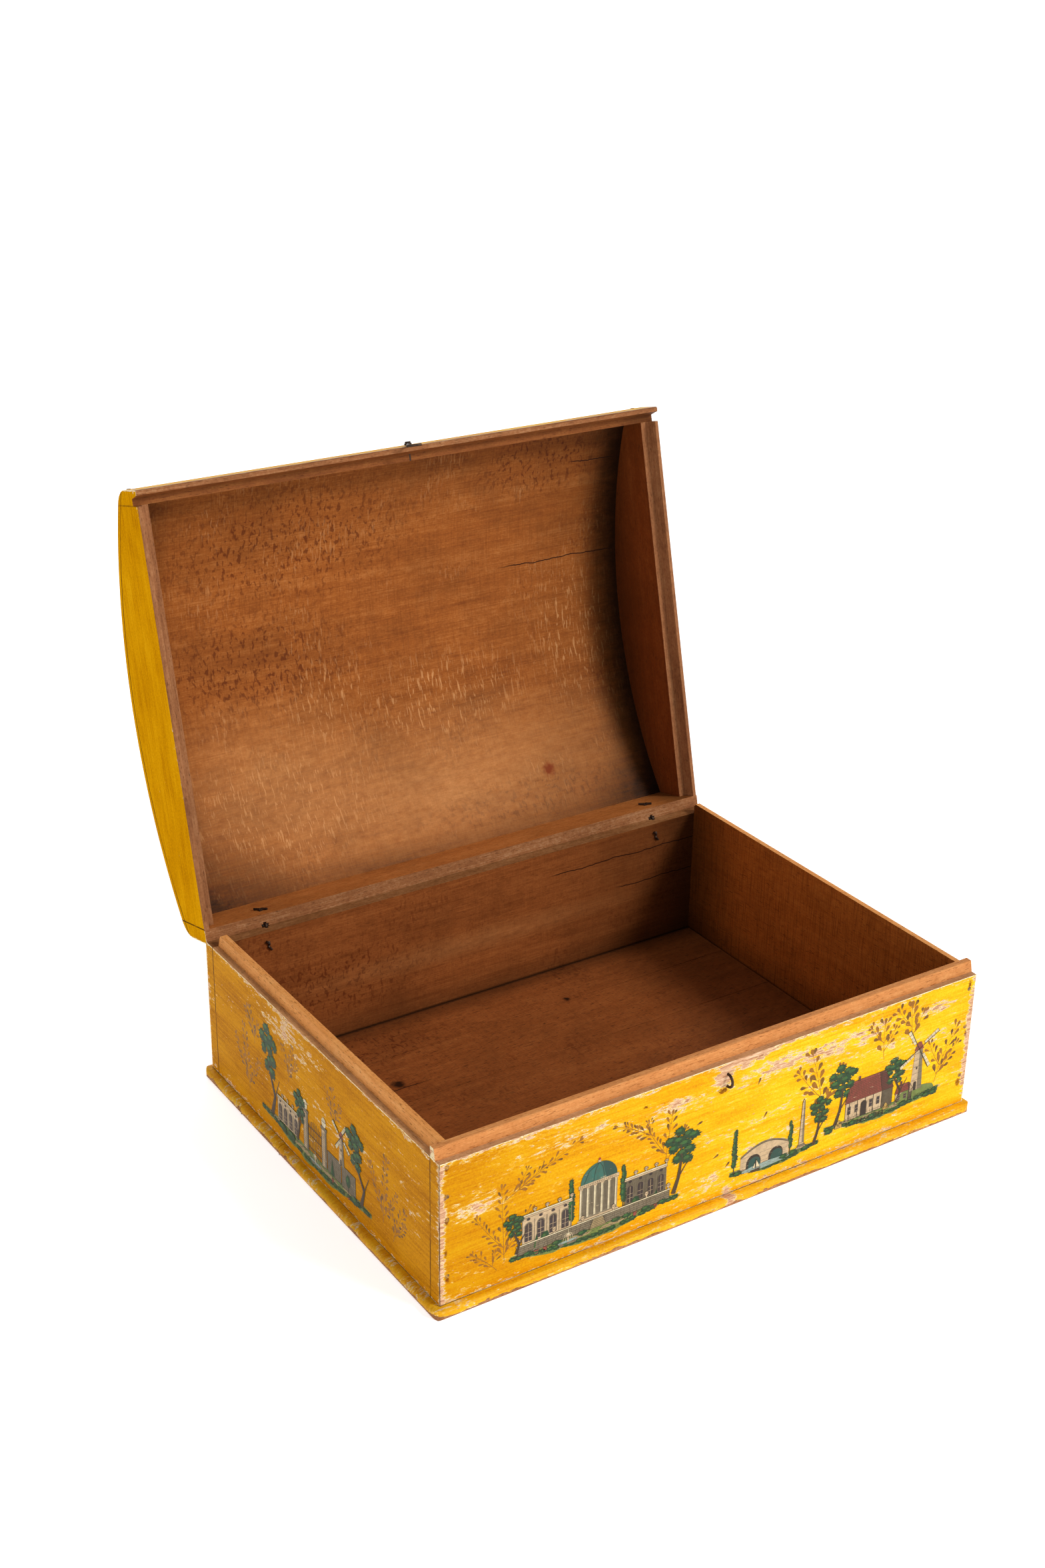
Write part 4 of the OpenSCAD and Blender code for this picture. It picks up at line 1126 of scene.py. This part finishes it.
def leaf(sheet, x, y, angle, length, width, ink="sprig"):
    half = [(0.25, 0.2), (0.5, 0.4), (0.75, 0.5), (0.93, 0.3)]
    ring = [(0, 0)] + half + [(1, 0)] + [(a, -b) for a, b in half[::-1]]
    c, s = cos(angle), sin(angle)
    shape(sheet, ink, SPRIG_LAYER, [(x + length * a * c - width * b * s,
                                     y + length * a * s + width * b * c) for a, b in ring])


def sprig(sheet, x, y, height, lean, rng, size, bend, slim=0.46, twigs=2):
    steps = max(3, int(sqrt(height ** 2 + lean ** 2) / (0.85 * size)))
    shares = [i / steps for i in range(steps + 1)]
    stem = [(x + lean * t + bend * height * t * t, y + height * t) for t in shares]
    stroke(sheet, "sprig", SPRIG_LAYER, stem, 0.45, 0.22)
    for i in range(1, steps + 1):
        (ax, ay), (bx, by) = stem[i - 1], stem[i]
        heading = atan2(by - ay, bx - ax)
        grown = 1.1 - 0.35 * i / steps
        for side in (-1, 1):
            if rng.random() < 0.14:  # a leaf that has worn away
                continue
            a = heading + side * rng.uniform(0.6, 1.05)
            along_twig = rng.uniform(0.15, 0.4) * size
            lx, ly = bx + along_twig * cos(a), by + along_twig * sin(a)
            if rng.random() < 0.6:
                stroke(sheet, "sprig", SPRIG_LAYER, [(bx, by), (lx, ly)], 0.3, 0.25)
            leaf(sheet, lx, ly, a - side * 0.25, size * grown * rng.uniform(0.75, 1.1),
                 slim * size * grown, "sprig_dark" if rng.random() < 0.35 else "sprig")
    leaf(sheet, *stem[-1], heading, 0.8 * size, 0.8 * slim * size)
    for k in range(twigs):
        side = (-1) ** k
        sprig(sheet, *stem[min(1 + k, steps - 1)], 0.5 * height,
              side * 0.42 * height + 0.3 * lean, rng, 0.8 * size, -side * 0.15, slim, 0)


# %% [markdown]
# ## Laying the sheets on the chest
#
# A sheet is drawn flat, so it needs to know where its face is. Each face gives a function
# from millimetres on the sheet, and a layer, to a point on the chest. The lid's faces are
# laid on the shut lid, then turned back to where it rests.

# %% Faces that take a sheet
LAYER = 0.05 * MM  # one paper thick
SHARES = 21  # shapes of one layer take turns at this many heights in it
SHARE = 0.045  # the step between two such heights, in layers


def on_front(u, v, layer):
    return Vector((u * MM, -HALF_D - LAYER * (layer + 1), BASE_T + v * MM))


def on_end(sign):
    return lambda u, v, layer: Vector((sign * (HALF_W + LAYER * (layer + 1)), sign * u * MM,
                                       BASE_T + v * MM))


def on_dome(u, v, layer):
    # v runs over the dome from front to back, along its bend
    bend, lift = v * MM / DOME_R, DOME_R + LAYER * (layer + 1)
    shut = Vector((u * MM, DOME_MIDDLE.y + lift * sin(bend), DOME_MIDDLE.z + lift * cos(bend)))
    return shut_turn.inverted() @ (shut - shut_shift)


def paste(name, sheet, face, body):
    inks = sorted({ink for ink, _, _ in sheet})
    points, faces = [], []
    for order, (_, layer, outline) in enumerate(sheet):
        faces.append(range(len(points), len(points) + len(outline)))
        # no two shapes that meet may share a plane, so each of a layer gets its own share of it
        level = layer + SHARE * (order % SHARES)
        points += [face(u, v, level) for u, v in outline]
    piece = made(name, points, faces, [ink_materials[ink] for ink in inks])
    piece.data.polygons.foreach_set("material_index", [inks.index(ink) for ink, _, _ in sheet])
    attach(piece, body)
    print(name, len(sheet), "shapes")


# %% Front, left scene: an orangery and a domed pavilion behind a terrace
def garden_scene(x0, y, seed):
    rng, scene = Random(seed), []
    ground(scene, x0, x0 + 120, y, 8, rng)
    poplar(scene, x0 + 42, y + 5, 34, rng)
    poplar(scene, x0 + 79, y + 5, 31, rng)
    orangery(scene, x0 + 8, y + 6, 34, 19, 4)
    orangery(scene, x0 + 80, y + 6, 30, 18, 4, "stone_shade")
    pavilion(scene, x0 + 61, y + 5, 27, 21)
    block(scene, "stone_shade", 4, x0 + 59, y - 1, 54, 6, 0.3)
    masonry(scene, 5, x0 + 5, y - 1, 108, 6, rng)
    block(scene, "cream", 5, x0 + 59, y + 5, 55, 1.0, 0.2)
    turned(scene, "earth", 6, x0 + 61, y, [(6, -1.5), (3.5, 5.2)], 0.25)
    for row in range(5):
        bar(scene, "line", 7, x0 + 61, y - 0.6 + 1.2 * row, 5.4, 0.25)
    for x in (6, 30, 50, 72, 96, 112):
        urn(scene, x0 + x, y + 6)
    tree_print(scene, x0 + 116, y + 1, 48, 25, rng, 6)
    tree_print(scene, x0 + 4, y + 1, 30, 15, rng, 6)
    for x in (18, 24, 88, 103):
        clipped_tree(scene, x0 + x, y - 4, 14, rng, x % 8 != 0)
    fountain(scene, x0 + 40, y - 6, 14)
    bushes(scene, 7, [x0 + x for x in (12, 32, 50, 74, 82, 96, 108)], y - 1.5, 4, 1.8, 0.5, 0.9,
           rng)
    return scene


paste("print_garden", garden_scene(-153, 15, 11), on_front, "box")

# %% Front, right scenes: a bridge with an obelisk, and a mill by a barn
rng = Random(23)
river = []
ground(river, 6, 76, 14, 6, rng)
poplar(river, 9, 13, 32, rng)
bridge(river, 14, 12, 38, 16)
blob(river, "water", 5, 34, 11.5, 19, 2.0, rng, 18, 0.1)
for k in range(9):
    bar(river, "stone_shade", 6, 20 + 3.4 * k, 11 + k % 3 * 0.6, 1, 0.25)
boat(river, 26, 9)
obelisk(river, 62, 13, 34)
poplar(river, 53, 13, 24, rng, 5)
tree_print(river, 72, 12, 36, 17, rng, 5)
bushes(river, 6, (12, 48, 56, 66), 12, 4, 2, 0.6, 1, rng)
paste("print_bridge", river, on_front, "box")
farm = []
ground(farm, 80, 176, 21, 7, rng)
tree_print(farm, 89, 20, 46, 24, rng)
barn(farm, 97, 20, 30, 13, 15)
tree_print(farm, 140, 20, 36, 18, rng)
blob(farm, "grass", 1, 156, 21, 17, 6, rng, 18, 0.08)
windmill(farm, 156, 24, 30, 0.5)
cottage(farm, 139, 18, 11, 8, 6, 2, 3)
haystack(farm, 92, 17, 6, rng)
haystack(farm, 131, 18, 5, rng)
fence(farm, 99, 129, 15)
bushes(farm, 6, (84, 104, 120, 146, 166, 172), 17, 4, 2, 0.6, 1, rng)
paste("print_farm", farm, on_front, "box")

# %% Left and right sides: trees, a garden gate between two piers, and a windmill
def gate_scene(seed):
    rng, scene = Random(seed), []
    ground(scene, -72, 70, 15, 9, rng)
    orangery(scene, -50, 15, 28, 17, 4)
    for x in (-12, 12):
        block(scene, "stone", 2, x, 14, 3, 28, 0.3)
        block(scene, "stone_shade", 3, x + 1.9, 14, 1.1, 28)
        masonry(scene, 4, x - 3, 14, 6, 26, rng)
        block(scene, "stone_shade", 4, x, 41, 3.9, 2, 0.3)
        blob(scene, "cream", 4, x, 46.4, 2.8, 3.6, rng, 14, 0.05)
        bar(scene, "line", 5, x, 47, 2.4, 0.4)
    for i in range(9):
        post(scene, "line", 2, 2.1 * i - 8.4, 14, 20 + 5 * sin(pi * (i + 0.5) / 9), 0.5)
    for level in (18, 27, 33):
        bar(scene, "line", 2, 0, level, 9.5, 0.6)
    for x in (16, 34):
        block(scene, "stone_shade", 1, x + 8.5, 14, 8.5, 15, 0.3)
        masonry(scene, 2, x, 14, 17, 15, rng)
    windmill(scene, 34, 28, 20, 0.9)
    tree_print(scene, -58, 14, 66, 22, rng)
    tree_print(scene, -24, 14, 40, 14, rng, 5)
    tree_print(scene, 58, 14, 54, 20, rng, 5)
    clipped_tree(scene, 22, 9, 17, rng)
    clipped_tree(scene, 42, 9, 17, rng, False)
    fountain(scene, 0, 8, 15)
    bushes(scene, 6, (-44, -32, 50), 12, 6, 3, 1, 1.4, rng)
    return scene


ENDS = {"left": on_end(-1), "right": on_end(1)}
for seed, (name, face) in zip((31, 37), ENDS.items()):
    paste("print_gate_" + name, gate_scene(seed), face, "box")

# %% [markdown]
# A sprig is told where it starts, how high it grows and how far it leans, then the size of its
# leaves, how much its stem bends and how slim they are. All sprigs share one random source.

# %% Sprigs round the prints
rng = Random(41)
twigs = []
for x, y, height, lean, *form in (
        (-157, 14, 50, -2, 5.6, 0.0, 0.36), (-162, 10, 16, -12, 5.0, -0.2, 0.34),
        (-156, 56, 22, 42, 5.2, 0.3, 0.36), (-44, 36, 36, 2, 6.0, 0.05, 0.4),
        (-52, 62, 16, -22, 5.2, -0.3, 0.36), (79, 32, 46, -10, 7.4, -0.05, 0.5),
        (126, 56, 26, -4, 6.4, 0.1, 0.5), (150, 60, 27, -6, 7.6, 0.1, 0.52),
        (172, 24, 36, 8, 7.0, 0.2, 0.42)):
    sprig(twigs, x, y, height, lean, rng, *form)
for x, y, turn in ((-22, 59, 0.3), (24, 72, 1.2), (30, 46, 1.0), (-8, 30, 0.4), (2, 20, 0.8)):
    leaf(twigs, x, y, turn, 5.0, 1.7, "sprig_dark")
paste("sprigs_front", twigs, on_front, "box")
for name, face in ENDS.items():
    twigs = []
    for x, y, height, lean, *form in (
            (-90, 14, 44, -4, 5.4, 0.0), (-80, 54, 22, -4, 5.0, -0.1), (-34, 50, 26, 4, 5.0, 0.1),
            (26, 50, 24, -3, 5.0, 0.0), (84, 18, 44, 2, 5.6, 0.05), (96, 12, 26, 8, 5.0, 0.15)):
        sprig(twigs, x, y, height, lean, rng, *form)
    paste("sprigs_" + name, twigs, face, "box")

# %% The lid's outside: a scene on its front slope, and sprigs in pairs
paste("print_lid_garden", garden_scene(-60, -92, 53), on_dome, "lid")
twigs = []
for side in (-1, 1):
    for x, y, height, lean, size, bend in (
            (78, -108, 70, 6, 7.0, 0.1), (122, -104, 56, 10, 6.4, 0.2), (24, 12, 34, 40, 6.4, 0.9),
            (150, -40, 60, 8, 6.4, -0.2), (60, 40, 60, 16, 7.0, 0.3), (140, 40, 60, 8, 6.4, -0.2)):
        sprig(twigs, side * x, y, height, side * lean, rng, size, side * bend)
paste("sprigs_lid_top", twigs, on_dome, "lid")

# %% [markdown]
# ## Floor, light and camera
#
# The photograph has a white ground with hardly a shadow. A wide pale floor gives that, with a
# sky that is white where it meets the floor and dim above. The key light comes from the front,
# above and to the right: it leaves the inside of the right end and the floor under it dark. A
# weak one from the left opens the shadows and one from behind draws the edges. All three are
# suns, so the floor is lit evenly to the horizon, and a wide angle makes their shadows soft.

# %% Floor and sky
WHITE = (1.0, 1.0, 1.0, 1.0)
REACH = 14.0  # how far the floor runs each way, in metres
paper = bpy.data.materials.new("pale_paper_floor")
paper.use_nodes = True
for socket, value in {"Base Color": linear("#f6f5f3"), "Roughness": 0.9, "Emission Color": WHITE,
                      "Emission Strength": 0.68, "Specular IOR Level": 0.1}.items():
    paper.node_tree.nodes["Principled BSDF"].inputs[socket].default_value = value
floor = made(
    "floor", [(-REACH, -REACH, 0), (REACH, -REACH, 0), (REACH, REACH, 0), (-REACH, REACH, 0)],
    [(0, 1, 2, 3)], [paper])
world = bpy.data.worlds.new("white_sky")
world.use_nodes = True
sky = world.node_tree.nodes["Background"]
sky.inputs["Color"].default_value = WHITE
# full white where it meets the floor, so no line shows there, and dim from 14 degrees up
up = add(world.node_tree, "TexCoord", {})
up = add(world.node_tree, "SeparateXYZ", [up], 2)
up = add(world.node_tree, "MapRange", [up, sin(radians(6)), sin(radians(14)), 1.0, 0.25])
world.node_tree.links.new(up, sky.inputs["Strength"])
bpy.context.scene.world = world
print("the floor reaches", REACH, "metres each way")

# %% Lights
for name, towards, strength, spread in (
        ("key", (0.42, -0.68, 0.62), 2.05, 16), ("fill", (-0.55, -0.62, 0.55), 0.3, 60),
        ("back", (0.25, 0.75, 0.5), 0.8, 50)):
    lamp = bpy.data.lights.new(name, "SUN")
    lamp.energy, lamp.angle = strength, radians(spread)
    placed(name, lamp).rotation_euler = Vector(towards).to_track_quat("Z", "Y").to_euler()
    print(name, "sun:", strength, "strong,", spread, "degrees wide")

# %% [markdown]
# The camera's place was worked out from the corners of the box in the photograph: it stands
# in front and to the left, looks down 25 degrees, and is turned by less than a degree.

# %% Camera
def stand(place, yaw, pitch, roll, lens):
    data = bpy.data.cameras.new("camera")
    data.lens, data.sensor_width = lens, 36.0
    camera = placed("camera", data)
    camera.matrix_world = Matrix.Translation(place)
    for angle, axis in ((-yaw, "Z"), (90 - pitch, "X"), (roll, "Z")):
        camera.matrix_world @= Matrix.Rotation(radians(angle), 4, axis)
    bpy.context.scene.camera = camera


stand((-0.70236, -0.99191, 0.78617), 33.245, 24.777, 0.847, 49.44)
bpy.context.scene.view_settings.view_transform = "Standard"
